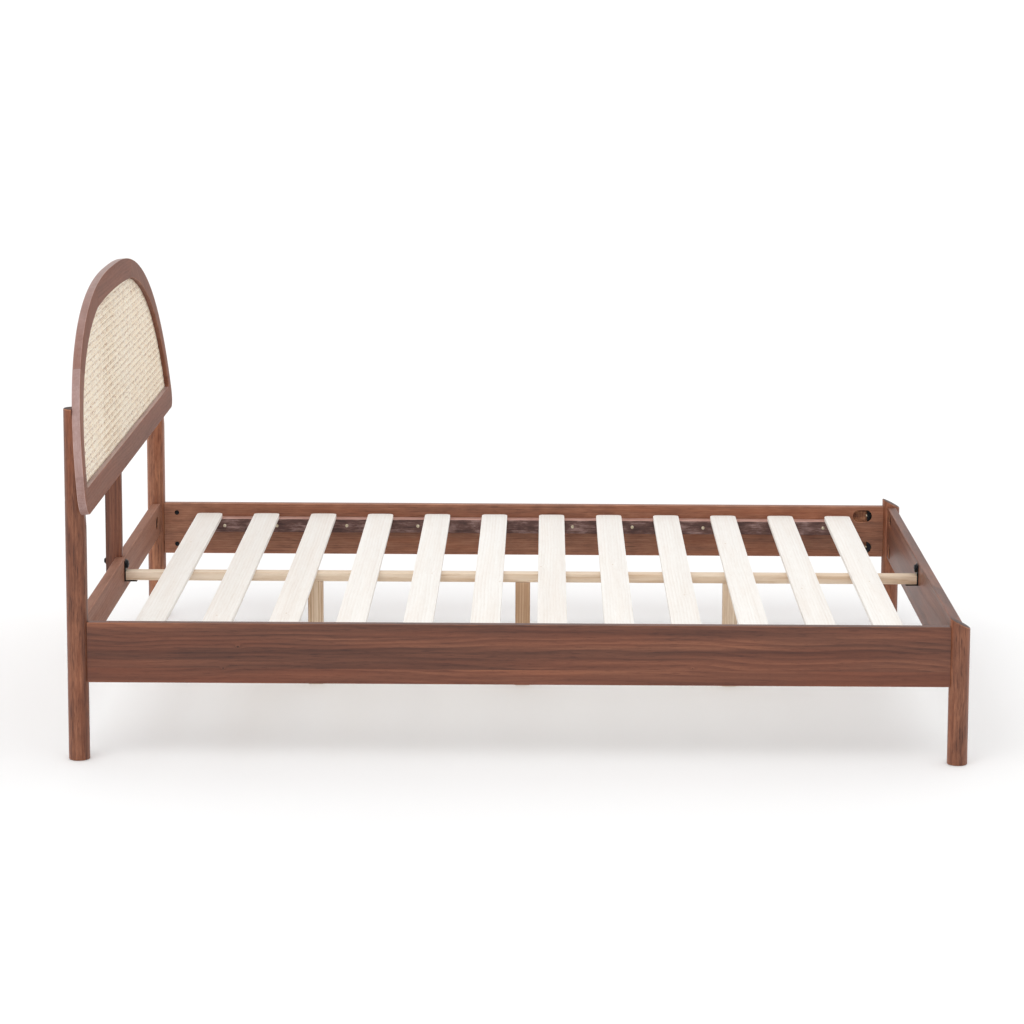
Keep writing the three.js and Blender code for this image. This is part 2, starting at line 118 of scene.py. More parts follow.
def rounding(edge, steps=3):
    """How far each point of a rounded corner is from the corner's two sides."""
    return [(edge * (1 - s), edge * (1 - c)) for s, c in quarter(steps)]


def rounded_rectangle(half_a, half_b, radius, steps=4):
    """Points round a rectangle with rounded corners, anticlockwise from its right side."""
    points = []
    for turn, (sa, sb) in enumerate(CORNERS):
        for i in range(steps + 1):
            angle = math.pi / 2 * (turn + i / steps)
            a = sa * (half_a - radius) + radius * math.cos(angle)
            b = sb * (half_b - radius) + radius * math.sin(angle)
            points.append((a, b))
    return points


def racetrack(half_length, half_height, steps=14):
    """Points round an outline with two straight sides and two half-round ends."""
    straight = half_length - half_height
    points = []
    for side in (1, -1):
        for i in range(steps + 1):
            angle = math.pi * (i / steps - 0.5) + (0 if side > 0 else math.pi)
            a = side * straight + half_height * math.cos(angle)
            points.append((a, half_height * math.sin(angle)))
    return points


def prism(section, start, end, place, ease):
    """A solid with both ends rounded over. section(inset) gives its (a, b) points, and
    place(a, b, along) puts them in the frame."""
    levels = [(start + deep, inset) for inset, deep in rounding(ease)]
    levels += [(end - deep, inset) for inset, deep in reversed(rounding(ease))]
    return loft([[place(a, b, along) for a, b in section(inset)] for along, inset in levels])


def bar(half_a, half_b, edge, start, end, place, ease):
    """A straight bar with rounded long edges and eased ends."""

    def section(inset):
        radius = max(edge - inset, edge * 0.35)
        return rounded_rectangle(half_a - inset, half_b - inset, radius)

    return prism(section, start, end, place, ease)


def along_x(y, z):
    return lambda a, b, along: Vector((along, y + a, z + b))


def along_y(x, z):
    return lambda a, b, along: Vector((x + a, along, z + b))


def along_z(x, y):
    return lambda a, b, along: Vector((x + a, y + b, along))


def lathe(profile, sides, start=(0, 0, 0), direction=Z_AXIS):
    """Turns a profile of (radius, height) about an axis; both ends are closed flat."""
    turn = Z_AXIS.rotation_difference(direction).to_matrix()
    base = Vector(start)
    outlines = []
    for radius, height in profile:
        ring = []
        for i in range(sides):
            angle = 2 * math.pi * i / sides
            point = Vector((radius * math.cos(angle), radius * math.sin(angle), height))
            ring.append(base + turn @ point)
        outlines.append(ring)
    return loft(outlines)


def boolean(target, cutters, operation="DIFFERENCE"):
    """Cuts the solids in cutters from target, or joins them. All are bmeshes."""
    base = as_object("cut_base", target)
    for cutter in cutters:
        tool = as_object("cut_tool", cutter)
        modifier = base.modifiers.new("cut", "BOOLEAN")
        modifier.operation = operation
        modifier.solver = "EXACT"
        modifier.object = tool
        bpy.context.view_layer.update()
        evaluated = base.evaluated_get(bpy.context.evaluated_depsgraph_get())
        result = bpy.data.meshes.new_from_object(evaluated)
        base.modifiers.clear()
        old = base.data
        base.data = result
        bpy.data.meshes.remove(old)
        discard(tool)
    bm = bmesh.new()
    bm.from_mesh(base.data)
    discard(base)
    return bm


def as_object(name, bm):
    mesh = bpy.data.meshes.new(name)
    bm.to_mesh(mesh)
    bm.free()
    obj = bpy.data.objects.new(name, mesh)
    bpy.context.scene.collection.objects.link(obj)
    return obj


def discard(obj):
    mesh = obj.data
    bpy.data.objects.remove(obj)
    bpy.data.meshes.remove(mesh)


def joined(parts):
    """One bmesh holding several separate solids."""
    whole = bmesh.new()
    for part in parts:
        mesh = bpy.data.meshes.new("part")
        part.to_mesh(mesh)
        part.free()
        whole.from_mesh(mesh)
        bpy.data.meshes.remove(mesh)
    return whole


def sliced(bm, point, normal):
    """Keeps what lies behind a plane, closes the cut, and gives the cut's edges."""
    everything = bm.verts[:] + bm.edges[:] + bm.faces[:]
    cut = bmesh.ops.bisect_plane(
        bm, geom=everything, dist=1e-7, plane_co=point, plane_no=normal, clear_outer=True
    )
    edges = [e for e in cut["geom_cut"] if isinstance(e, bmesh.types.BMEdge) and e.is_boundary]
    caps = bmesh.ops.holes_fill(bm, edges=edges, sides=0)["faces"]
    return list(dict.fromkeys(edge for face in caps for edge in face.edges))


# ---- pieces
def piece(name, bm, material, replaces=(), along=X_AXIS, across=Z_AXIS, tone=0.0, warm=0.0,
          flat=Z_AXIS, offset=None):
    """Makes the shown object. along and across give its wood's directions, and its rounded edges
    are the faces that lean both from flat and from the directions at right angles to it."""
    obj = as_object(name, bm)
    mesh = obj.data
    mesh.materials.append(material)
    for polygon in mesh.polygons:
        polygon.use_smooth = True
    mesh.set_sharp_from_angle(angle=math.radians(32))
    mark_grain(mesh, name, along, across, offset)
    store(mesh, "look", [tone, warm, 0.0] * len(mesh.vertices))
    # Rounded-edge faces, which the wood lightens as wear and as a painted highlight along the edges.
    leans = [abs(polygon.normal.dot(flat)) for polygon in mesh.polygons]
    attribute = mesh.attributes.new("wear_and_highlight", "FLOAT", "FACE")
    attribute.data.foreach_set("value", [float(0.12 < lean < 0.98) for lean in leans])
    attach(obj, "root")
    if replaces:
        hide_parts(*replaces)
    return obj


def recolour(obj, material, chosen):
    """Gives another material to the faces for which chosen(centre, normal) is true."""
    obj.data.materials.append(material)
    index = len(obj.data.materials) - 1
    for polygon in obj.data.polygons:
        if chosen(polygon.center, polygon.normal):
            polygon.material_index = index


def mark_grain(mesh, name, along, across, offset=None):
    """Stores each point's place in its own board: along the grain, across it and through it.
    The offset is where the board was cut from its log; each board has its own, by its name."""
    draw = random.Random(name)
    if offset is None:
        offset = Vector([draw.uniform(-4, 4), draw.uniform(-0.02, 0.02), draw.uniform(-0.02, 0.02)])
    through = along.cross(across)
    spans = [[v.co[i] for v in mesh.vertices] for i in range(3)]
    middle = Vector([(min(span) + max(span)) / 2 for span in spans])
    values = []
    for vertex in mesh.vertices:
        p = vertex.co - middle
        values.extend(Vector((p.dot(along), p.dot(across), p.dot(through))) + offset)
    store(mesh, "grain", values)


def store(mesh, name, values):
    """Keeps three numbers for each vertex, for the materials to read."""
    attribute = mesh.attributes.new(name, "FLOAT_VECTOR", "POINT")
    attribute.data.foreach_set("vector", values)


# ---- materials
class Graph:
    """Short names for building a material's node tree."""

    def __init__(self, name):
        self.material = bpy.data.materials.new(name)
        self.material.use_nodes = True
        self.tree = self.material.node_tree
        self.shader = self.tree.nodes["Principled BSDF"]

    def set(self, socket, value):
        if isinstance(value, bpy.types.NodeSocket):
            self.tree.links.new(value, socket)
        else:
            socket.default_value = value

    def node(self, kind, inputs, output=0, **settings):
        """Adds a node; inputs go by name or number. Gives the socket that comes out of it."""
        node = self.tree.nodes.new("ShaderNode" + kind)
        for name, value in settings.items():
            setattr(node, name, value)
        for name, value in inputs.items():
            self.set(node.inputs[name], value)
        return node.outputs[output]

    def attribute(self, name, output="Vector"):
        return self.node("Attribute", {}, output, attribute_name=name)

    def object_place(self):
        return self.node("TexCoord", {}, "Object")

    def split(self, vector):
        return self.node("SeparateXYZ", {0: vector}).node.outputs[:3]

    def math(self, operation, a, b=0.0, c=0.0, clamp=False):
        return self.node("Math", {0: a, 1: b, 2: c}, operation=operation, use_clamp=clamp)

    def add(self, a, b, clamp=False):
        return self.math("ADD", a, b, clamp=clamp)

    def times(self, a, b):
        return self.math("MULTIPLY", a, b)

    def times_add(self, a, b, c):
        return self.math("MULTIPLY_ADD", a, b, c)

    def moved(self, vector, amount, offset):
        """The vector plus amount times the offset."""
        inputs = {0: amount, 1: offset, 2: vector}
        return self.node("VectorMath", inputs, operation="MULTIPLY_ADD")

    def noise(self, vector, scale, detail=2.0, roughness=0.5, distortion=0.0):
        """Noise at one scale, or at one for each direction."""
        if isinstance(scale, tuple):
            vector = self.node("VectorMath", {0: vector, 1: scale}, operation="MULTIPLY")
            scale = 1.0
        inputs = {"Vector": vector, "Scale": scale, "Detail": detail, "Roughness": roughness,
                  "Distortion": distortion}
        return self.node("TexNoise", inputs, "Fac")

    def ramp(self, factor, stops):
        """stops are (position, colour) pairs, from dark to light."""
        colour = self.node("ValToRGB", {"Fac": factor}, "Color")
        elements = colour.node.color_ramp.elements
        while len(elements) < len(stops):
            elements.new(0.5)
        for element, (position, stop) in zip(elements, stops):
            element.position = position
            element.color = (*stop, 1.0)
        return colour

    def level(self, value, low, high, to_low=0.0, to_high=1.0):
        """Maps low..high to to_low..to_high, smoothly and clamped."""
        inputs = {"Value": value, "From Min": low, "From Max": high, "To Min": to_low,
                  "To Max": to_high}
        return self.node("MapRange", inputs, "Result", interpolation_type="SMOOTHSTEP")

    def blend(self, factor, a, b):
        a, b = (v if isinstance(v, bpy.types.NodeSocket) else (*v, 1.0) for v in (a, b))
        return self.node("Mix", {0: factor, 6: a, 7: b}, 2, data_type="RGBA")

    def bump(self, height, strength, distance):
        inputs = {"Strength": strength, "Distance": distance, "Height": height}
        return self.node("Bump", inputs, "Normal")

    def finish(self, colour, roughness, normal=None, **constants):
        """Links the shader, and sets constants, such as Metallic, on its own sockets."""
        self.set(self.shader.inputs["Base Color"], colour)
        self.set(self.shader.inputs["Roughness"], roughness)
        if normal is not None:
            self.set(self.shader.inputs["Normal"], normal)
        for name, value in constants.items():
            self.set(self.shader.inputs[name.replace("_", " ")], value)
        return self.material


def srgb(red, green, blue):
    """A colour given as on a screen, 0 to 255, as the linear values that shaders take."""

    def linear(value):
        c = value / 255
        return c / 12.92 if c <= 0.04045 else ((c + 0.055) / 1.055) ** 2.4

    return linear(red), linear(green), linear(blue)


def shades(*colours):
    return [srgb(*colour) for colour in colours]


def knot_field(g, along, across, knots):
    """0 away from the knots, rising to 1 at their hearts."""
    total = None
    for x, y, size in knots:
        dx = g.times(g.math("SUBTRACT", along, x), 0.55)
        dy = g.math("SUBTRACT", across, y)
        square = g.add(g.times(dx, dx), g.times(dy, dy))
        near = g.math("DIVIDE", size * size, g.add(square, size * size))
        total = near if total is None else g.math("MAXIMUM", total, near)
    return total


def wood(name, colours, ring=0.006, pith=(0.14, 0.03), wave=0.03, ring_weight=0.3, band_weight=0.4,
         line_weight=0.35, fibre_weight=0.3, mottle_weight=0.0, fleck_weight=0.1, roughness=0.45,
         bump=0.25, pores=0.45, hue=0.25, red=(0.4, 0.1, 0.05), knots=(), knot_colour=None,
         gloss=0.4, wear_and_highlight=0.35, glue_line=None):
    """Stained or bare wood. colours run from dark to light. Growth rings are cylinders round a
    pith that lies beside the board, and wave is how far the trunk wanders. Below a glue_line the
    board is another strip of wood, lighter and redder."""
    g = Graph(name)
    grain = g.attribute("grain")
    tone, warm, _ = g.split(g.attribute("look"))
    along, across, through = g.split(grain)
    if glue_line is not None:
        strip = g.level(across, glue_line - 0.2 * MM, glue_line + 0.2 * MM, 1.0, 0.0)
        grain = g.moved(grain, strip, (1.7, 0.31, 0.02))
        tone = g.times_add(strip, 0.05, tone)
        warm = g.times_add(strip, 0.22, warm)

    drift = g.noise(grain, (1.3, 3.5, 3.5))
    ripple = g.noise(grain, (7.0, 40.0, 40.0))
    shift = g.times_add(drift, wave, g.times(ripple, 0.002))
    side = g.add(across, pith[0])
    depth = g.add(through, pith[1])
    square = g.add(g.times(side, side), g.times(depth, depth))
    radius = g.add(g.math("SQRT", square), shift)
    if knots:
        field = knot_field(g, along, across, knots)
        radius = g.add(radius, g.times(g.math("POWER", field, 0.8), 0.02))
    phase = g.math("FRACT", g.math("DIVIDE", radius, ring))
    late = g.times(g.level(phase, 0.15, 0.85), g.level(phase, 0.88, 1.0, 1.0, 0.0))
    year = g.noise(grain, (0.5, 45.0, 45.0), detail=1)
    late = g.times(late, g.level(year, 0.3, 0.65, 0.25, 1.0))

    band = g.noise(grain, (0.9, 38.0, 38.0), detail=3, roughness=0.55)
    line = g.noise(grain, (3.0, 190.0, 190.0), detail=3, roughness=0.6)
    fibre = g.noise(grain, (16.0, 620.0, 620.0), detail=4, roughness=0.6)
    pore = g.level(g.noise(grain, (60.0, 1300.0, 1300.0)), 0.6, 0.72)
    fleck = g.level(g.noise(grain, (26.0, 330.0, 330.0), detail=3), 0.54, 0.7)

    value = g.times_add(late, -ring_weight, 0.5 + ring_weight * 0.35)
    mottle = g.noise(grain, (16.0, 75.0, 75.0), detail=4, roughness=0.65)
    parts = ((band, band_weight), (line, line_weight), (fibre, fibre_weight), (mottle, mottle_weight))
    for part, weight in parts:
        value = g.add(value, g.times_add(part, weight, -0.5 * weight))
    value = g.times_add(fleck, -fleck_weight, value)
    value = g.add(value, tone, clamp=True)
    count = len(colours)
    stops = [(0.15 + 0.7 * i / (count - 1), colour) for i, colour in enumerate(colours)]
    colour = g.ramp(value, stops)

    patch = g.noise(grain, (2.2, 26.0, 26.0), detail=3)
    reddish = g.times(g.level(patch, 0.42, 0.68), hue)
    reddish = g.add(reddish, warm, clamp=True)
    colour = g.blend(reddish, colour, g.blend(0.5, colour, red))
    colour = g.blend(g.times(pore, pores), colour, colours[0])
    # Rounded edges blend towards a pale colour: partly wear, partly a painted highlight along the
    # edges.
    worn_and_lit = g.times(g.attribute("wear_and_highlight", "Fac"), g.level(mottle, 0.38, 0.68, 0.35, 1.0))
    colour = g.blend(g.times(worn_and_lit, wear_and_highlight), colour, tuple(c * 1.9 for c in colours[-1]))
    if knots:
        heart = g.level(field, 0.6, 0.95)
        dark = knot_colour or tuple(c * 0.4 for c in colours[0])
        colour = g.blend(g.times(heart, 0.85), colour, dark)

    height = g.times_add(fibre, 0.6, g.times(pore, -0.8))
    height = g.add(height, g.times(late, -0.3))
    normal = g.bump(height, bump, 0.25 * MM)
    rough = g.times_add(fibre, 0.16, roughness - 0.08)
    rough = g.times_add(pore, 0.12, rough)
    return g.finish(colour, rough, normal, Specular_IOR_Level=gloss)


def end_grain(name, colours, roughness):
    """Sawn or routed wood: short broken fibres and open pores instead of long lines."""
    g = Graph(name)
    grain = g.attribute("grain")
    cloud = g.noise(grain, (60.0, 120.0, 120.0), detail=4, roughness=0.6)
    pore = g.level(g.noise(grain, 1500.0), 0.55, 0.7)
    chatter = g.noise(grain, (420.0, 60.0, 60.0), distortion=0.4)
    value = g.times_add(chatter, 0.4, g.times(cloud, 0.6))
    colour = g.ramp(value, [(0.34, colours[0]), (0.5, colours[1]), (0.66, colours[2])])
    colour = g.blend(g.times(pore, 0.5), colour, colours[0])
    height = g.times_add(pore, -1.0, chatter)
    return g.finish(colour, roughness, g.bump(height, 0.4, 0.3 * MM))


def ledger_wood(name, colours, saw_marks, roughness):
    """Rough-sawn board: cross marks from the saw, pale dusty patches, coarse fibres."""
    g = Graph(name)
    grain = g.attribute("grain")
    saw = g.noise(grain, (330.0, 26.0, 26.0), distortion=0.6)
    patch = g.noise(grain, (22.0, 60.0, 60.0), detail=4, roughness=0.65)
    fibre = g.noise(grain, (14.0, 620.0, 620.0), detail=4, roughness=0.65)
    value = g.add(g.times(patch, 0.6), g.times(fibre, 0.4))
    colour = g.ramp(value, [(0.36, colours[0]), (0.5, colours[1]), (0.63, colours[2])])
    height = g.times_add(saw, saw_marks, g.times(fibre, 0.5))
    rough = g.times_add(patch, 0.15, roughness)
    return g.finish(colour, rough, g.bump(height, 0.5, 0.5 * MM))


def cane_fibre():
    """Split cane: glossy pale skin, fine lines along it, and painted shade on its sides and in the
    weave's hollows.
    Its look attribute holds each strand's tone, and how much painted shade each point gets, on its
    underside and where it dips."""
    g = Graph("cane_fibre")
    grain = g.attribute("grain")
    tone, shade, _ = g.split(g.attribute("look"))
    stain = g.noise(grain, (90.0, 3.0, 3.0), detail=4, roughness=0.65)
    line = g.noise(grain, (40.0, 2600.0, 7.0), detail=3)
    value = g.times_add(stain, 0.9, g.times_add(line, 0.3, -0.12))
    value = g.add(value, tone, clamp=True)
    colours = shades((230, 198, 156), (252, 232, 202), (255, 244, 222), (255, 250, 236))
    stops = list(zip((0.16, 0.32, 0.48, 0.7), colours))
    # Painted shade: strand sides, dips and noise flecks that stand for shadowed holes blend towards
    # brown, scaled by the stain noise.
    shade_by_stain = g.level(stain, 0.42, 0.6, 1.0, 0.65)
    hole_shadow_noise = g.noise(g.object_place(), (90.0, 90.0, 170.0))
    hollow = g.times_add(g.level(hole_shadow_noise, 0.5, 0.62), 0.4, shade)
    dark = g.times(g.level(hollow, 0.15, 1.1), shade_by_stain)
    colour = g.blend(dark, g.ramp(value, stops), srgb(150, 92, 46))
    rough = g.times_add(stain, 0.2, 0.38)
    return g.finish(colour, rough, g.bump(line, 0.3, 0.1 * MM))


def black_steel():
    g = Graph("black_oxide_steel")
    place = g.object_place()
    cloud = g.noise(place, 140.0, detail=4)
    speck = g.noise(place, 1400.0, detail=3)
    colour = g.ramp(cloud, [(0.35, srgb(22, 22, 24)), (0.6, srgb(40, 40, 43)), (0.8, srgb(62, 60, 60))])
    rough = g.times_add(cloud, 0.3, 0.24)
    return g.finish(colour, rough, g.bump(speck, 0.15, 0.05 * MM), Metallic=0.85)


def plated_steel():
    """Zinc-plated screws: bright, slightly yellow, cloudy."""
    g = Graph("plated_steel")
    place = g.object_place()
    cloud = g.noise(place, 260.0, detail=4)
    colour = g.ramp(cloud, [(0.3, srgb(176, 160, 128)), (0.7, srgb(226, 216, 196))])
    rough = g.times_add(cloud, 0.25, 0.2)
    return g.finish(colour, rough, g.bump(cloud, 0.1, 0.05 * MM), Metallic=0.9)


def floor_paint():
    g = Graph("studio_floor")
    cloud = g.noise(g.object_place(), 0.6)
    colour = g.ramp(cloud, [(0.3, (0.93, 0.93, 0.93)), (0.7, (0.95, 0.95, 0.95))])
    return g.finish(colour, 0.8)


WALNUT_COLOURS = shades((58, 31, 24), (83, 48, 35), (105, 63, 46), (131, 83, 60))
INSIDE_COLOURS = shades((88, 54, 41), (118, 77, 59), (143, 96, 73), (166, 117, 91))
BOARD_COLOURS = shades((82, 52, 42), (108, 71, 57), (130, 89, 72), (152, 109, 90))
POST_COLOURS = shades((70, 38, 26), (106, 63, 43), (136, 87, 62), (168, 115, 83))
# Light lilac-grey colours: a painted sheen, the reflection of the bright surroundings on the
# headboard's outer edge.
EDGE_SHEEN_COLOURS = shades((106, 78, 70), (138, 108, 101), (160, 132, 127), (182, 157, 153))
SLAT_COLOURS = shades((221, 212, 202), (234, 228, 221), (243, 240, 235), (248, 246, 243))
PINE_COLOURS = shades((168, 136, 108), (206, 180, 152), (226, 207, 184), (240, 225, 208))
WALNUT_RED = srgb(140, 72, 44)

WALNUT = wood("walnut_stain", WALNUT_COLOURS, ring=0.0085, wave=0.06, ring_weight=0.25,
              band_weight=0.9, line_weight=0.45, fleck_weight=0.2, hue=0.35, red=WALNUT_RED)
WALNUT_NEAR = wood("walnut_stain_near_rail", WALNUT_COLOURS, ring=0.012, wave=0.11, ring_weight=0.18,
                   band_weight=1.3, line_weight=0.2, mottle_weight=0.1, fleck_weight=0.15,
                   hue=0.3, red=WALNUT_RED, glue_line=-36 * MM,
                   knots=((-0.66, 0.016, 0.003), (-0.695, -0.036, 0.002), (0.41, -0.03, 0.0015)))
WALNUT_FAR = wood("walnut_stain_inside", INSIDE_COLOURS, ring_weight=0.12, band_weight=0.5,
                  line_weight=0.3, mottle_weight=0.7, fleck_weight=0.2, hue=0.5,
                  red=srgb(170, 96, 58), roughness=0.5)
WALNUT_BOARD = wood("walnut_stain_headboard", BOARD_COLOURS, ring=0.009, wave=0.05,
                    ring_weight=0.12, band_weight=0.35, line_weight=0.2, mottle_weight=0.3,
                    hue=0.3, red=WALNUT_RED, roughness=0.6, gloss=0.16, bump=0.15)
# The headboard's outer edge, coloured with the painted sheen.
WALNUT_EDGE_SHEEN = wood("walnut_stain_board_edge", EDGE_SHEEN_COLOURS, ring_weight=0.05, band_weight=0.4,
                   line_weight=0.12, fibre_weight=0.25, mottle_weight=0.3, hue=0.2,
                   red=srgb(150, 84, 50), roughness=0.4, wear_and_highlight=0.15)
# The opening's up-facing bottom: lighter sheen colours, as painted light from above.
WALNUT_REVEAL_LIT = wood("walnut_reveal_painted_light", EDGE_SHEEN_COLOURS[1:], band_weight=0.3, line_weight=0.2,
                     hue=0.1, red=srgb(176, 120, 96), roughness=0.4, wear_and_highlight=0.1)
WALNUT_POST = wood("walnut_stain_posts", POST_COLOURS, ring=0.009, ring_weight=0.1, band_weight=0.7,
                   line_weight=0.35, mottle_weight=0.8, fleck_weight=0.3, roughness=0.4, hue=0.4,
                   red=srgb(164, 86, 46), pores=0.65)
END_GRAIN = end_grain("walnut_end_grain", shades((44, 25, 20), (74, 45, 35), (104, 68, 54)), 0.6)
ROUTED = end_grain("routed_pocket", shades((92, 54, 34), (148, 94, 62), (188, 134, 96)), 0.55)
SLAT_KNOTS = [(-4.3 + 1.37 * i, 0.02 * math.sin(5 * i), 0.0035) for i in range(7)]
SLAT_WOOD = wood("pale_slat_wood", SLAT_COLOURS, ring=0.008, wave=0.02, ring_weight=0.12,
                 band_weight=0.4, line_weight=0.32, fibre_weight=0.3, mottle_weight=0.2,
                 roughness=0.5, bump=0.12, pores=0.12, hue=0.25, red=srgb(230, 210, 192), wear_and_highlight=0.1,
                 knots=SLAT_KNOTS, knot_colour=srgb(205, 184, 158))
PINE = wood("bare_pine", PINE_COLOURS, ring=0.007, ring_weight=0.3, band_weight=0.45,
            line_weight=0.45, mottle_weight=0.2, roughness=0.55, bump=0.15, pores=0.15, hue=0.3,
            red=srgb(200, 150, 106), wear_and_highlight=0.1)
LEDGER_FACE = ledger_wood("rough_sawn_ledger",
                          shades((52, 31, 27), (88, 60, 54), (146, 118, 112)), 0.8, 0.72)
# Up-facing top faces: smoother planed wood, and lighter by painted light from above.
LEDGER_TOP_LIT = ledger_wood("planed_ledger_top_painted_light",
                         shades((150, 108, 96), (186, 144, 132), (206, 168, 156)), 0.15, 0.42)
CANE = cane_fibre()
BLACK = black_steel()
PLATED = plated_steel()


# ---- posts
def head_post(side_name, side):
    """A tall turned post, cut away in front for the leaning headboard."""
    edge = 3 * MM
    r = HEAD_RADIUS
    top = HEAD_POST_TOP
    low = [(r - side_gap, up) for side_gap, up in rounding(0.7 * edge, 4)]
    high = [(r - side_gap, top - down) for side_gap, down in reversed(rounding(edge, 4))]
    x, y = HEAD_POST.x, side * HALF_Y
    post = lathe(low + high, 96, (x, y, 0))
    seat = leaning(Vector((0, 0, -GAP)))
    sliced(post, seat, leaning_direction(Z_AXIS))
    recesses = [recess((x - r, y, z)) for z in (*BOLT_HEIGHTS.values(), BOARD_BOLT_HEIGHT)]
    post = boolean(post, recesses)
    show_post(f"head_post_{side_name}", post, 0.02 + 0.1 * side, 0.1)


def show_post(node, post, tone, warm):
    obj = piece(f"{node}_turned", post, WALNUT_POST, [node], along=Z_AXIS,
                across=X_AXIS, tone=tone, warm=warm)
    recolour(obj, END_GRAIN, lambda place, normal: abs(normal.z) > 0.7)


def recess(mouth):
    """A counterbore with a softened rim, opening towards -X at mouth."""
    r = 7 * MM
    depth = 12 * MM
    profile = [(r + 3 * MM, -4 * MM), (r + 1.4 * MM, 0.2 * MM), (r + 0.3 * MM, 1.6 * MM)]
    profile += [(r, 2.4 * MM), (r, depth)]
    return lathe(profile, 40, mouth, X_AXIS)


def foot_post(side_name, side):
    """A short turned post, whose top slants down towards the foot end."""
    r = FOOT_RADIUS
    edge = 2 * MM
    low = [(r - side_gap, up) for side_gap, up in rounding(edge)]
    x, y = FOOT_POST.x, side * HALF_Y
    post = lathe(low + [(r, FOOT_POST_TOP + 4 * MM)], 96, (x, y, 0))
    slope = math.atan(0.5)
    middle_top = FOOT_POST_TOP - r * math.tan(slope)
    normal = Vector((math.sin(slope), 0, math.cos(slope)))
    rim = sliced(post, Vector((x, y, middle_top)), normal)
    bmesh.ops.bevel(post, geom=rim, offset=edge, segments=3, profile=0.5, affect="EDGES")
    show_post(f"foot_post_{side_name}", post, -0.05, 0.0)


# ---- rails
POCKET = {"half_length": 26.7 * MM, "half_height": 17 * MM, "depth": 17.8 * MM, "setback": 80.7 * MM}
BARREL_SETBACK = 58.6 * MM
POST_CLEARANCE = 0.9 * MM


def post_hollow(radius, x, y):
    """What a rail's end leaves free round a post."""
    hollow = radius + POST_CLEARANCE
    return lathe([(hollow, 0), (hollow, 600 * MM)], 96, (x, y, 0))


def pocket(centre_point, inward, length_axis):
    """A round-ended pocket with a softened rim and a filleted floor, cut into a rail's face."""
    rim = 1.3 * MM
    fillet = 2.0 * MM
    depth = POCKET["depth"]
    levels = [(-2 * MM, rim * 2.2)]
    levels += [(deep, grow) for grow, deep in rounding(rim, 4)]
    levels += [(depth - up, -shrink) for up, shrink in rounding(fillet)]
    base = Vector(centre_point)
    outlines = []
    for deep, grow in levels:
        track = racetrack(POCKET["half_length"] + grow, POCKET["half_height"] + grow)
        outlines.append([base + inward * deep + length_axis * a + Z_AXIS * b for a, b in track])
    return loft(outlines)


def side_rail(side_name, side, material):
    y = side * HALF_Y
    z = (RAIL_TOP + RAIL_LOW) / 2
    half = (RAIL_TOP - RAIL_LOW) / 2
    ends = (HEAD_POST.x, FOOT_POST.x)
    rail = bar(RAIL_THICK / 2, half, 2 * MM, *ends, along_x(y, z), 0.5 * MM)
    inner = y - side * RAIL_THICK / 2
    outward = Y_AXIS * side
    cutters = [post_hollow(HEAD_RADIUS, HEAD_POST.x, y), post_hollow(FOOT_RADIUS, FOOT_POST.x, y)]
    for height in BOLT_HEIGHTS.values():
        pocket_x = FOOT_POST.x - POCKET["setback"]
        cutters.append(pocket((pocket_x, inner, height), outward, X_AXIS))
        barrel = (HEAD_POST.x + BARREL_SETBACK, inner, height)
        cutters.append(barrel_hole(barrel, outward))
    rail = boolean(rail, cutters)
    obj = piece(f"side_rail_{side_name}_board", rail, material,
                [f"side_rail_{side_name}"], tone=0.1 if side > 0 else 0.0,
                offset=None if side > 0 else Vector((0, 0, 0)))
    recolour(obj, ROUTED, lambda place, normal: in_pocket(
        place.z, (place.y - inner) * side, HALF_X - abs(place.x - MIDDLE_X)))


def in_pocket(height, sunk, from_post):
    """True on a pocket's wall or floor. sunk is how deep a point lies behind the rail's inner
    face, and from_post how far along the rail it is from the post's axis."""
    near = abs(from_post - POCKET["setback"]) < POCKET["half_length"] + 1.5 * MM
    deep = 1.2 * MM < sunk < POCKET["depth"] + 1 * MM
    return near and deep and RAIL_LOW + 5 * MM < height < RAIL_TOP - 5 * MM


def barrel_hole(mouth, inward):
    """A round hole with a softened rim, for a barrel nut."""
    r = 6.3 * MM
    profile = [(r + 1.6 * MM, -1.2 * MM), (r + 0.4 * MM, 0.4 * MM), (r, 1.0 * MM), (r, 21 * MM)]
    return lathe(profile, 40, mouth, inward)


def cross_rail(name, x, inward, low, radius, heights, material, tone):
    z = (RAIL_TOP + low) / 2
    half = (RAIL_TOP - low) / 2
    rail = bar(RAIL_THICK / 2, half, 2 * MM, -HALF_Y, HALF_Y, along_y(x, z), 0.5 * MM)
    inner = x + inward * RAIL_THICK / 2
    cutters = [post_hollow(radius, x, side * HALF_Y) for side in (-1, 1)]
    for height in heights:
        for side in (-1, 1):
            point = (inner, side * (HALF_Y - POCKET["setback"]), height)
            cutters.append(pocket(point, X_AXIS * -inward, Y_AXIS))
    rail = boolean(rail, cutters)
    obj = piece(f"{name}_board", rail, material, [name], along=Y_AXIS, tone=tone)
    recolour(obj, ROUTED, lambda place, normal: in_pocket(
        place.z, (inner - place.x) * inward, HALF_Y - abs(place.y)))


# ---- slatted base
def slat(index):
    node = f"slat_{index:02d}"
    low, high, middle, half = measures(node)
    tone = random.Random(node).uniform(-0.05, 0.05)

    def section(inset):
        return rounded_rectangle(half.x - inset, half.y - inset, 13 * MM - inset, 8)

    board = prism(section, low.z, high.z, along_z(middle.x, middle.y), 1.6 * MM)
    piece(f"{node}_board", board, SLAT_WOOD, [node], along=Y_AXIS, across=X_AXIS,
          tone=tone)


LEDGER_SCREWS = [x * MM for x in (-840, -693, -496, -296, -97, 139, 307, 506, 700, 843)]


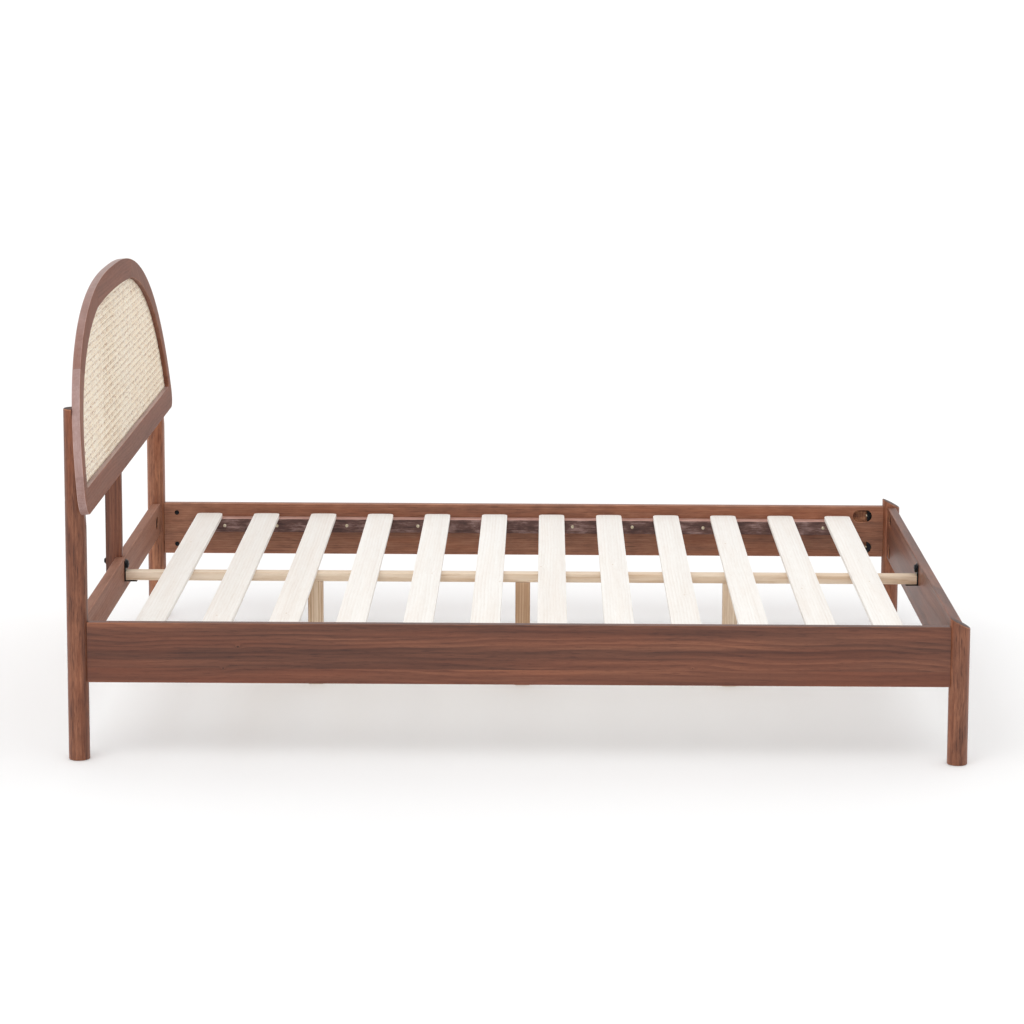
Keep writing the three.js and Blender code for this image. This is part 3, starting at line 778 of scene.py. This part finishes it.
def ledger(side_name, side):
    """A rough board whose edges wander a little, with a lighter top (planed wood, lightened further by
    painted light from above), and its screws.
    """
    node = f"slat_ledger_{side_name}"
    low, _, middle, half = measures(node)
    draw = random.Random(node)
    steps = 90
    outlines = []
    for i in range(steps + 1):
        x = low.x + 2 * half.x * i / steps
        pinch = 0.8 * MM if i in (0, steps) else draw.uniform(0.0, 0.5) * MM
        section = rounded_rectangle(half.y - pinch, half.z - pinch, 1.4 * MM, 2)
        z = middle.z + pinch  # the top stays level, because the slats rest on it
        outlines.append([Vector((x, middle.y + a, z + b)) for a, b in section])
    board = piece(f"{node}_board", loft(outlines), LEDGER_FACE, [node])
    recolour(board, LEDGER_TOP_LIT, lambda place, normal: normal.z > 0.9)
    face = middle.y - side * half.y
    screws = []
    for x in LEDGER_SCREWS:
        jitter = draw.uniform(-1.5, 1.5) * MM
        start = (MIDDLE_X + x, face, middle.z + jitter)
        screws.append(pan_screw(start, Y_AXIS * -side, draw.uniform(0, 1.5)))
    piece(f"{node}_screws", joined(screws), PLATED)


def pan_screw(base, outward, turn, radius=4.6 * MM):
    """A domed screw head with a cross recess, standing on a face."""
    rise = radius * 0.42
    profile = [(radius, -0.6 * MM), (radius, 0.15 * rise)]
    profile += [(radius * c, rise * (0.15 + 0.85 * s)) for s, c in quarter(5)[1:-1]]
    profile += [(radius * 0.12, rise)]
    head = lathe(profile, 28, base, outward)
    side_axis = outward.orthogonal().normalized()
    side_axis.rotate(Matrix.Rotation(turn, 3, outward))
    other_axis = outward.cross(side_axis)
    cuts = []
    for long_axis, short_axis in ((side_axis, other_axis), (other_axis, side_axis)):
        cuts.append(slot_cutter(Vector(base), outward, long_axis, short_axis, radius, rise))
    return boolean(head, cuts)


def slot_cutter(base, outward, long_axis, short_axis, radius, rise, width=0.2, reach=0.55):
    """A thin tapering block that cuts a driver's slot into a screw head."""
    outlines = []
    for height, spread in ((rise * 0.35, 0.6), (rise * 1.6, 1.15)):
        ring = []
        for a, b in CORNERS:
            flat = long_axis * (a * radius * reach * spread) + short_axis * (b * radius * width * 0.5)
            ring.append(base + outward * height + flat)
        outlines.append(ring)
    return loft(outlines)


def centre_rail():
    low, high, middle, half = measures("centre_rail")
    place = along_x(middle.y, middle.z)
    rail = bar(half.y, half.z, 1.6 * MM, low.x, high.x, place, 0.8 * MM)
    piece("centre_rail_batten", rail, PINE, ["centre_rail"], across=Y_AXIS)


def centre_leg(node, tone, warm):
    low, high, middle, half = measures(node)
    leg = bar(half.x, half.y, 2 * MM, low.z, high.z, along_z(middle.x, middle.y), 1 * MM)
    piece(f"{node}_post", leg, PINE, [node], along=Z_AXIS, across=X_AXIS, tone=tone,
          warm=warm)


# ---- centre brackets
BRACKET_THICK = 3 * MM
BRACKET_BOLT_DROP = 20 * MM  # below the rails' tops
BRACKET_SCREW_DROP = 36.5 * MM
SHELF_SCREWS = (14 * MM, 25 * MM)  # from the cross rail's face


def bracket(node, end):
    """A folded steel angle with rounded corners, its big bolt and its small screw."""
    low, high, _, half = measures(node)
    face = high.x if end > 0 else low.x

    def inward(distance):
        return face - end * distance

    upright = [(face, a, low.z + b) for a, b in corner_cut(half.y, 2 * half.z)]
    plate = plate_solid(upright, X_AXIS * (-end * BRACKET_THICK))
    level = [(inward(2 * half.x - b), a, low.z) for a, b in corner_cut(half.y, 2 * half.x)]
    shelf = plate_solid(level, Z_AXIS * BRACKET_THICK)
    angle = boolean(plate, [shelf], "UNION")
    piece(f"{node}_angle", angle, BLACK, [node])
    out = X_AXIS * -end
    plate_face = inward(BRACKET_THICK)
    head = domed_bolt((plate_face, 0, RAIL_TOP - BRACKET_BOLT_DROP), out, 11 * MM, 6.5 * MM)
    piece(f"{node}_bolt", head, BLACK)
    screw = pan_screw((plate_face, 0, RAIL_TOP - BRACKET_SCREW_DROP), out, 0.4, 3.4 * MM)
    piece(f"{node}_screw", screw, PLATED)
    under = [pan_screw((inward(d), 0, low.z), -Z_AXIS, 0.7, 3.6 * MM) for d in SHELF_SCREWS]
    piece(f"{node}_shelf_screws", joined(under), PLATED)


def corner_cut(half_width, length, radius=4 * MM):
    """A plate's outline: square at the fold (b = 0), rounded at its free end."""
    points = [(-half_width, 0), (half_width, 0)]
    for side in (1, -1):
        for s, c in (quarter(5) if side > 0 else reversed(quarter(5))):
            a = side * (half_width - radius + radius * c)
            points.append((a, length - radius + radius * s))
    return points


def plate_solid(outline, thickness):
    base = [Vector(p) for p in outline]
    return loft([base, [p + thickness for p in base]])


def domed_bolt(base, outward, radius, rise, socket=3.2 * MM):
    """A button-head bolt with a hexagon socket."""
    rim = 1.4 * MM
    profile = [(radius - 0.5 * MM, -0.4 * MM), (radius, 0.3 * MM), (radius, rim)]
    profile += [(radius * (0.45 + 0.55 * c), rim + (rise - rim) * s) for s, c in quarter(6)[1:]]
    head = lathe(profile, 48, base, outward)
    return with_socket(head, base, outward, rise, socket, 3 * MM)


def with_socket(head, base, outward, rise, socket, deep):
    """Cuts a hexagon socket into a bolt's head, which rises from base."""
    floor = Vector(base) + outward * (rise - deep)
    return boolean(head, [lathe([(socket, 0), (socket, deep + 2 * MM)], 6, floor, outward)])


# ---- headboard
LEAN = math.atan(0.1)
SEAT = Vector((MIDDLE_X - 1017.5 * MM, 0, 600 * MM))
BOARD = {"half": 870 * MM, "rise": 541.5 * MM, "bottom": -6 * MM, "corner": 45 * MM}
OPENING = {"half": 826 * MM, "rise": 492 * MM, "bottom": 54.3 * MM, "corner": 10 * MM}
ARCH_CENTRE = -51 * MM
ARCH_POWER = 2.55
BOARD_THICK = 20 * MM
CROWN_HALF = 337 * MM
CROWN_MIDDLE = 431.4 * MM
CROWN_SAGITTA = 10 * MM
LEDGE = 9 * MM
REBATE = 8 * MM
SIDE_JOINT = 88 * MM
JOINT_ANGLES = [math.radians(27.6), math.radians(57)]
JOINT_ANGLES += [math.pi - angle for angle in reversed(JOINT_ANGLES)]


def leaning(p):
    """From (u across, v up the lean, n forward) to the row's frame."""
    s, c = math.sin(LEAN), math.cos(LEAN)
    return Vector((SEAT.x + p.z * c - p.y * s, p.x, SEAT.z + p.y * c + p.z * s))


def leaning_direction(d):
    return leaning(d) - leaning(Vector((0, 0, 0)))


def arch_outline(arch, steps, crown=False, grow=0.0):
    """Points round the flat-bottomed arch, from the right end of its bottom edge, anticlockwise."""
    half = arch["half"] + grow
    rise = arch["rise"] + grow
    bottom = arch["bottom"] - grow
    corner = arch["corner"]
    shoulder = bottom + corner
    side = half * (1 - ((shoulder - ARCH_CENTRE) / rise) ** ARCH_POWER) ** (1 / ARCH_POWER)
    start = math.asin(((shoulder - ARCH_CENTRE) / rise) ** (ARCH_POWER / 2))
    right = [(side - corner * (1 - s), shoulder - corner * c) for s, c in quarter(9)]
    for i in range(1, steps + 1):
        angle = start + (math.pi / 2 - start) * i / steps
        u = half * max(math.cos(angle), 0) ** (2 / ARCH_POWER)
        v = ARCH_CENTRE + rise * math.sin(angle) ** (2 / ARCH_POWER)
        if crown:
            v = min(v, CROWN_MIDDLE + grow - CROWN_SAGITTA * (u / CROWN_HALF) ** 2)
        right.append((u, v))
    left = [(-u, v) for u, v in reversed(right[:-1])]
    return [Vector(p) for p in right + left]


def outward_normals(points):
    normals = []
    for i, _ in enumerate(points):
        step = points[(i + 1) % len(points)] - points[i - 1]
        normals.append(Vector((step.y, -step.x)).normalized())
    return normals


def ring_solid(sections):
    """Joins matching closed cross-sections, one for each point round the arch, into a ring."""
    bm = bmesh.new()
    rings = [[bm.verts.new(leaning(Vector(p))) for p in section] for section in sections]
    for i, ring in enumerate(rings):
        following = rings[(i + 1) % len(rings)]
        for j in range(len(ring)):
            k = (j + 1) % len(ring)
            bm.faces.new((ring[j], ring[k], following[k], following[j]))
    bmesh.ops.recalc_face_normals(bm, faces=bm.faces)
    return bm


def board_ring(steps=150):
    """The whole headboard as one ring, with eased edges and a rebate behind the opening."""
    outer = arch_outline(BOARD, steps)
    inner = arch_outline(OPENING, steps, crown=True)
    outer_normals = outward_normals(outer)
    inner_normals = outward_normals(inner)
    edge = 2.2 * MM
    top = BOARD_THICK
    sections = []
    for p, n, q, m in zip(outer, outer_normals, inner, inner_normals):
        section = []
        for s, c in quarter(4):
            section.append((*(p - n * edge * (1 - c)), top - edge * (1 - s)))
        for s, c in reversed(quarter(4)):
            section.append((*(q + m * edge * (1 - c)), top - edge * (1 - s)))
        section.append((*q, REBATE))
        section.append((*(q + m * LEDGE), REBATE))
        section.append((*(q + m * LEDGE), 0))
        for s, c in reversed(quarter(4)):
            section.append((*(p - n * edge * (1 - c)), edge * (1 - s)))
        sections.append(section)
    return ring_solid(sections)


def kept_half(bm, point, normal, kerf=0.1 * MM):
    """Cuts a board on a joint line of its plane, and chamfers the end, which makes a fine groove
    where two boards meet."""
    direction = leaning_direction(Vector((*normal, 0)))
    place = leaning(Vector((*(Vector(point) - Vector(normal) * kerf / 2), 0)))
    rim = sliced(bm, place, direction)
    bmesh.ops.bevel(bm, geom=rim, offset=0.4 * MM, segments=1, affect="EDGES")


# The arch's boards, anticlockwise from the far side: grain's angle in degrees, tone, warmth.
ARCH_BOARDS = [
    ("side_far", 100, 0.05, 0.06),
    ("shoulder_far", 132, 0.0, 0.06),
    ("crown", 0, -0.05, 0.3),
    ("shoulder_near", 48, -0.04, 0.4),
    ("side_near", 80, 0.12, 0.15),
]


def headboard():
    """The glued-up frame: a bottom rail, and five boards that meet on rays of the arch."""
    heart = (0, ARCH_CENTRE)
    headboard_board("bottom_rail", [((0, SIDE_JOINT), (0, 1))], 0, 0.0, 0.15)
    for board, first, last in zip(ARCH_BOARDS, [None, *JOINT_ANGLES], [*JOINT_ANGLES, None]):
        name, *look = board
        cuts = [((0, SIDE_JOINT), (0, -1))]
        if first is not None:
            cuts.append((heart, (math.sin(first), -math.cos(first))))
        if last is not None:
            cuts.append((heart, (-math.sin(last), math.cos(last))))
        headboard_board(name, cuts, *look)


def headboard_board(name, cuts, degrees, tone, warm):
    board = board_ring()
    for point, normal in cuts:
        kept_half(board, point, normal)
    angle = math.radians(degrees)
    along = leaning_direction(Vector((math.cos(angle), math.sin(angle), 0)))
    across = leaning_direction(Vector((-math.sin(angle), math.cos(angle), 0)))
    obj = piece(f"headboard_{name}_board", board, WALNUT_BOARD, [f"headboard_{name}"],
                along=along, across=across, tone=tone, warm=warm, flat=leaning_direction(Z_AXIS))
    recolour(obj, WALNUT_EDGE_SHEEN, on_outer_edge)
    if name == "bottom_rail":
        recolour(obj, WALNUT_REVEAL_LIT, on_reveal)


def on_outer_edge(place, normal):
    """True for the faces round the outside of the arch, which get the painted sheen."""
    face = leaning_direction(Z_AXIS)
    up = leaning_direction(Y_AXIS)
    u = place.y
    v = (place - SEAT).dot(up)
    outwards = Y_AXIS * (u / BOARD["half"]) + up * ((v - 0.2) / BOARD["rise"])
    return abs(normal.dot(face)) < 0.6 and normal.dot(outwards) > 0.25


def on_reveal(place, normal):
    """True for the up-facing bottom of the opening, which gets painted light from above."""
    return normal.dot(leaning_direction(Y_AXIS)) > 0.9 and abs(place.y) < OPENING["half"]


def retaining_strip(steps=110):
    """The strip that holds the cane's edge in the rebate, from behind."""
    inner = arch_outline(OPENING, steps, crown=True)
    normals = outward_normals(inner)
    back, front = 0.3 * MM, 4.9 * MM
    edge = 1.2 * MM
    sections = []
    for p, n in zip(inner, normals):
        low, high = 0.6 * MM, LEDGE - 0.5 * MM
        section = [(*(p + n * high), front), (*(p + n * low), front)]
        for s, c in quarter(3):
            section.append((*(p + n * (low + edge * (1 - c))), back + edge * (1 - s)))
        for s, c in reversed(quarter(3)):
            section.append((*(p + n * (high - edge * (1 - c))), back + edge * (1 - s)))
        sections.append(section)
    bm = ring_solid(sections)
    piece("cane_retaining_bead", bm, WALNUT, ["cane_retaining_strip"], along=Y_AXIS)


# ---- woven cane
CANE_PITCH = 17.2 * MM
CANE_PAIR = 1.75 * MM  # half the distance between the two strands of a pair
CANE_WIDTH = 2.5 * MM
CANE_THICK = 1.0 * MM
CANE_MIDDLE = 6.5 * MM  # how far forward of the board's back the weave lies


class Weave:
    """Collects strands of one direction into one mesh."""

    def __init__(self, name):
        self.name = name
        self.draw = random.Random(name)
        self.verts = []
        self.faces = []
        self.grain = []
        self.look = []

    def strand(self, path, direction):
        """path is a list of (u, v, n), and direction the strand's way in the (u, v) plane."""
        if len(path) < 2:
            return
        side = Vector((-direction[1], direction[0], 0))
        width = CANE_WIDTH * self.draw.uniform(0.92, 1.06)
        sway = self.draw.uniform(-0.3, 0.3) * MM
        tone = self.draw.uniform(-0.12, 0.12)
        thread = self.draw.uniform(0, 50)
        half = width / 2
        section = [(-half, -0.3), (-half * 0.55, 0.5), (half * 0.55, 0.5), (half, -0.3)]
        first = len(self.verts)
        travelled = 0.0
        for i, p in enumerate(path):
            point = Vector(p) + side * sway
            if i:
                travelled += (Vector(p) - Vector(path[i - 1])).length
            # Painted shade: points that dip under other strands, and the strand's underside points, are
            # marked to be darkened.
            dip_shade = max(0.0, -p[2] / CANE_THICK) * 0.55
            for a, rise in section:
                place = point + side * a + Vector((0, 0, CANE_MIDDLE + rise * CANE_THICK))
                self.verts.append(leaning(place))
                self.grain.extend((travelled + thread, a, thread))
                self.look.extend((tone, dip_shade + (0.75 if rise < 0 else 0.0), 0.0))
        count = len(section)
        for i in range(len(path) - 1):
            a = first + i * count
            b = a + count
            for j in range(count):
                k = (j + 1) % count
                self.faces.append((a + j, b + j, b + k, a + k))
        last = first + (len(path) - 1) * count
        self.faces.append(tuple(first + j for j in range(count)))
        self.faces.append(tuple(last + j for j in reversed(range(count))))

    def finish(self):
        mesh = bpy.data.meshes.new(self.name)
        mesh.from_pydata(self.verts, [], self.faces)
        mesh.validate()
        obj = bpy.data.objects.new(self.name, mesh)
        bpy.context.scene.collection.objects.link(obj)
        mesh.materials.append(CANE)
        mesh.polygons.foreach_set("use_smooth", [True] * len(mesh.polygons))
        mesh.set_sharp_from_angle(angle=math.radians(70))
        store(mesh, "grain", self.grain)
        store(mesh, "look", self.look)
        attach(obj, "root")
        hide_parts("cane_panel")


def in_rebate(u, v, grow=LEDGE - 1.2 * MM):
    """True where the cane reaches: the opening and the ledge round it."""
    bottom = OPENING["bottom"] - grow
    top = CROWN_MIDDLE + grow - CROWN_SAGITTA * (u / CROWN_HALF) ** 2
    across = abs(u) / (OPENING["half"] + grow)
    up = max(v - ARCH_CENTRE, 0) / (OPENING["rise"] + grow)
    return bottom < v < top and across**ARCH_POWER + up**ARCH_POWER < 1


def inside_run(points):
    return [p for p in points if in_rebate(p[0], p[1])]


def cane_panel():
    pitch = CANE_PITCH
    thick = CANE_THICK
    columns = int(OPENING["half"] / pitch) + 2
    first_row = OPENING["bottom"] + pitch * 0.45
    rows = int((CROWN_MIDDLE - OPENING["bottom"]) / pitch) + 3

    uprights = Weave("cane_uprights")
    for k in range(-columns, columns + 1):
        for lean_side in (-1, 1):
            u = k * pitch + lean_side * CANE_PAIR
            path = []
            for m in range(-2, 2 * rows):
                height = lean_side * 0.5 * thick if m % 2 == 0 else 0.0
                path.append((u, first_row + m * pitch / 2, height))
            uprights.strand(inside_run(path), (0, 1))
    uprights.finish()

    levels = Weave("cane_levels")
    for m in range(-1, rows):
        for lean_side in (-1, 1):
            v = first_row + m * pitch + lean_side * CANE_PAIR
            path = []
            for k in range(-columns, columns + 1):
                path.append((k * pitch - CANE_PAIR, v, 0.7 * thick))
                path.append((k * pitch + CANE_PAIR, v, -0.2 * thick))
                path.append(((k + 0.5) * pitch, v, 0.3 * thick))
            levels.strand(inside_run(path), (1, 0))
    levels.finish()

    # The diagonals cross the pairs half way between the nodes. One way goes over the levels and
    # under the uprights, the other way under the levels and over the uprights.
    for name, slope in (("cane_diagonals_up", 1), ("cane_diagonals_down", -1)):
        weave = Weave(name)
        for k in range(-columns - rows, columns + rows):
            path = []
            for i in range(-4, 4 * rows):
                v = first_row + i * pitch / 4
                u = (k + 0.5) * pitch + slope * i * pitch / 4
                wave = math.cos(math.pi * i / 2)  # 1 on a level, -1 on an upright
                path.append((u, v, slope * wave * 0.95 * thick))
            direction = Vector((slope, 1)).normalized()
            weave.strand(inside_run(path), direction)
        weave.finish()


# ---- headboard support
WASHER = [(9.4 * MM, 0), (9.8 * MM, 0.4 * MM), (9.8 * MM, 1.2 * MM), (9.4 * MM, 1.6 * MM)]


def headboard_support():
    """The board that leans with the headboard above the head rail, and laps over its back."""
    low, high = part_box("headboard_support")
    back, front = low.x, high.x
    rail_back = HEAD_POST.x - RAIL_THICK / 2 - GAP
    lap = RAIL_TOP + GAP
    clearance = GAP / math.cos(LEAN)

    def lean_x(z):
        return SEAT.x - clearance - (z - SEAT.z) * math.tan(LEAN)

    meets = SEAT.z + (SEAT.x - clearance - front) / math.tan(LEAN)
    outline = [(back, low.z), (rail_back, low.z), (rail_back, lap), (front, lap), (front, meets),
               (lean_x(high.z), high.z), (back, high.z)]
    base = [Vector((x, low.y, z)) for x, z in outline]
    bm = loft([base, [p + Y_AXIS * (high.y - low.y) for p in base]])
    bmesh.ops.bevel(bm, geom=bm.edges[:], offset=1.5 * MM, segments=3, profile=0.5, affect="EDGES")
    piece("headboard_support_board", bm, WALNUT, ["headboard_support"], along=Z_AXIS,
          across=X_AXIS, tone=0.05)
    for level in LEVELS:
        node = f"support_bolt_{level}"
        z = centre(node).z
        washer = lathe(WASHER, 48, (back, 0, z), -X_AXIS)
        head = domed_bolt((back - WASHER[-1][1], 0, z), -X_AXIS, 6.6 * MM, 4.2 * MM, 2.4 * MM)
        shank_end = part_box(node)[1].x
        shank = lathe([(2.9 * MM, 0), (2.9 * MM, shank_end - back)], 24, (back, 0, z), X_AXIS)
        piece(f"{node}_assembly", joined([washer, head, shank]), BLACK, [node])


# ---- bolts
def threaded_shank(start, direction, length, radius=2.9 * MM, pitch=1.25 * MM):
    """A shank with rolled ridges over its last part."""
    plain = max(length - 16 * MM, 0)
    profile = [(radius * 0.97, 0), (radius * 0.97, plain)]
    z = plain
    while z < length - pitch:
        profile += [(radius, z + pitch * 0.25), (radius * 0.84, z + pitch * 0.75)]
        z += pitch
    profile.append((radius * 0.7, length))
    return lathe(profile, 20, start, direction)


def socket_head(seat, outward, radius=5.4 * MM, rise=7.8 * MM):
    """A cap head that stands on seat, with a hexagon socket in its end."""
    edge = 0.7 * MM
    profile = [(radius - 0.3 * MM, 0), (radius, 0.3 * MM), (radius, rise - edge)]
    profile += [(radius - side_gap, rise - down) for down, side_gap in rounding(edge)]
    head = lathe(profile, 36, seat, outward)
    return with_socket(head, seat, outward, rise, 2.8 * MM, 3.6 * MM)


def bolt_seat_and_shank(node, direction):
    """The place where a CAD bolt's head bears, and a threaded shank from there to its end."""
    _, _, middle, half = measures(node)
    half_length = half.dot(Vector([abs(c) for c in direction]))
    seat = middle + direction * (BOLT_HEAD_LENGTH - half_length)
    return seat, threaded_shank(seat, direction, 2 * half_length - BOLT_HEAD_LENGTH)


def axis_bolt(node, direction):
    """Replaces a plain CAD bolt by a socket-head one in the same place."""
    seat, shank = bolt_seat_and_shank(node, direction)
    head = socket_head(seat, -direction)
    piece(f"{node}_socket_head", joined([head, shank]), BLACK, [node])


def pocket_bolt(node, direction, inward):
    """A bolt in a pocket: a half-moon washer fills the pocket's round end, and the head bears
    on the washer's flat side. inward points from the rail's middle towards the pocket's mouth."""
    seat, shank = bolt_seat_and_shank(node, direction)
    round_centre = seat + direction * (1.2 * MM - POCKET["half_height"])
    washer = half_moon(round_centre, direction, inward)
    head = socket_head(round_centre + direction * HALF_MOON["flat"], -direction, 3.6 * MM, 3.6 * MM)
    piece(f"{node}_half_moon", joined([washer, shank]), BLACK, [node])
    piece(f"{node}_cap", head, PLATED, [node])


BOLT_HEAD_LENGTH = 8 * MM
HALF_MOON = {"radius": 16.2 * MM, "flat": 4.6 * MM, "deep": 13.5 * MM}


def half_moon(round_centre, direction, inward):
    """A block whose outline is the end of a circle, standing on the pocket's floor."""
    radius = HALF_MOON["radius"]
    limit = math.acos(HALF_MOON["flat"] / radius)
    steps = 18
    outline = []
    for i in range(steps + 1):
        angle = -limit + 2 * limit * i / steps
        outline.append((radius * math.cos(angle), radius * math.sin(angle)))
    floor = RAIL_THICK / 2 - POCKET["depth"] + 0.8 * MM
    top = floor + HALF_MOON["deep"]
    edge = 0.8 * MM
    outlines = []
    for level, inset in ((floor, 1.2 * MM), (floor + edge, 0.0), (top - edge, 0.0), (top, edge)):
        shrink = 1 - inset / radius
        middle = round_centre + inward * level
        outlines.append([middle + (direction * a + Z_AXIS * b) * shrink for a, b in outline])
    return loft(outlines)


def barrel_nut(node, outward):
    """A cross dowel with a driver's slot, a little proud of the rail's face."""
    low, high, middle, _ = measures(node)
    length = high.y - low.y
    radius = (high.z - low.z) / 2
    tip = middle + outward * (length / 2)
    edge = 0.7 * MM
    profile = [(radius, 0), (radius, length - edge)]
    profile += [(radius - side_gap, length - down) for down, side_gap in rounding(edge)]
    nut = lathe(profile, 40, tip - outward * length, outward)
    slot_ring = []
    for depth in (-1.6 * MM, 2 * MM):
        slot_ring.append([tip + outward * depth + X_AXIS * (a * 9 * MM) + Z_AXIS * (b * 0.9 * MM)
                          for a, b in CORNERS])
    nut = boolean(nut, [loft(slot_ring)])
    piece(f"{node}_cross_dowel", nut, BLACK, [node])


def fasteners():
    for name, side in SIDES.items():
        away = Y_AXIS * side
        axis_bolt(f"headboard_bolt_{name}", X_AXIS)
        pocket_bolt(f"head_rail_bolt_{name}", away, X_AXIS)
        for level in BOLT_HEIGHTS:
            axis_bolt(f"side_rail_head_bolt_{name}_{level}", X_AXIS)
            barrel_nut(f"barrel_nut_{name}_{level}", -away)
            pocket_bolt(f"side_rail_foot_bolt_{name}_{level}", X_AXIS, -away)
            pocket_bolt(f"foot_rail_bolt_{name}_{level}", away, -X_AXIS)


# ---- the bed
def build_bed():
    for name, side in SIDES.items():
        head_post(name, side)
        foot_post(name, side)
        side_rail(name, side, WALNUT_FAR if side > 0 else WALNUT_NEAR)
        ledger(name, side)
    cross_rail("head_rail", HEAD_POST.x, 1, HEAD_RAIL_LOW, HEAD_RADIUS, [HEAD_RAIL_BOLT_HEIGHT],
               WALNUT_BOARD, 0.25)
    cross_rail("foot_rail", FOOT_POST.x, -1, RAIL_LOW, FOOT_RADIUS, BOLT_HEIGHTS.values(),
               WALNUT, 0.08)
    for index in range(1, 13):
        slat(index)
    centre_rail()
    centre_leg("centre_leg_head", -0.1, 0.1)
    centre_leg("centre_leg_middle", -0.38, 0.4)
    centre_leg("centre_leg_foot", -0.02, 0.05)
    bracket("centre_bracket_head", -1)
    bracket("centre_bracket_foot", 1)
    headboard()
    retaining_strip()
    cane_panel()
    headboard_support()
    fasteners()


# ---- studio
def soft_sun(name, direction, strength, angle):
    """A very broad sun: like a large soft box far away, and even over the whole floor."""
    data = bpy.data.lights.new(name, "SUN")
    data.energy = strength
    data.angle = angle
    light = bpy.data.objects.new(name, data)
    light.rotation_mode = "QUATERNION"
    light.rotation_quaternion = Vector(direction).to_track_quat("-Z", "Y")
    light.location = (0, 0, 4)
    bpy.context.scene.collection.objects.link(light)


def studio():
    bm = bmesh.new()
    bmesh.ops.create_circle(bm, cap_ends=True, radius=400, segments=64)
    floor = as_object("studio_floor", bm)
    floor.location.z = -0.0005
    floor.data.materials.append(floor_paint())

    world = bpy.data.worlds.new("studio")
    bpy.context.scene.world = world
    world.use_nodes = True
    background = world.node_tree.nodes["Background"]
    background.inputs["Color"].default_value = (1, 1, 1, 1)
    background.inputs["Strength"].default_value = 0.98
    soft_sun("key", (0.3, 0.75, -0.8), 0.75, math.radians(50))
    bpy.context.scene.view_settings.view_transform = "Standard"


CAMERA = {
    "place": (0.0727, -8.2498, 1.9896),
    "yaw": math.radians(0.61),
    "pitch": math.radians(8.38),
    "roll": math.radians(0.19),
    "lens": 114.1,
    "shift": -0.12,
}


def camera():
    data = bpy.data.cameras.new("camera")
    data.sensor_width = 36
    data.lens = CAMERA["lens"]
    data.shift_y = CAMERA["shift"]
    data.clip_end = 1000
    obj = bpy.data.objects.new("camera", data)
    obj.location = CAMERA["place"]
    turn = Matrix.Rotation(CAMERA["yaw"], 3, "Z")
    tilt = Matrix.Rotation(math.pi / 2 - CAMERA["pitch"], 3, "X")
    spin = Matrix.Rotation(CAMERA["roll"], 3, "Z")
    obj.rotation_mode = "QUATERNION"
    obj.rotation_quaternion = (turn @ tilt @ spin).to_quaternion()
    bpy.context.scene.collection.objects.link(obj)
    bpy.context.scene.camera = obj


camera()
studio()
build_bed()
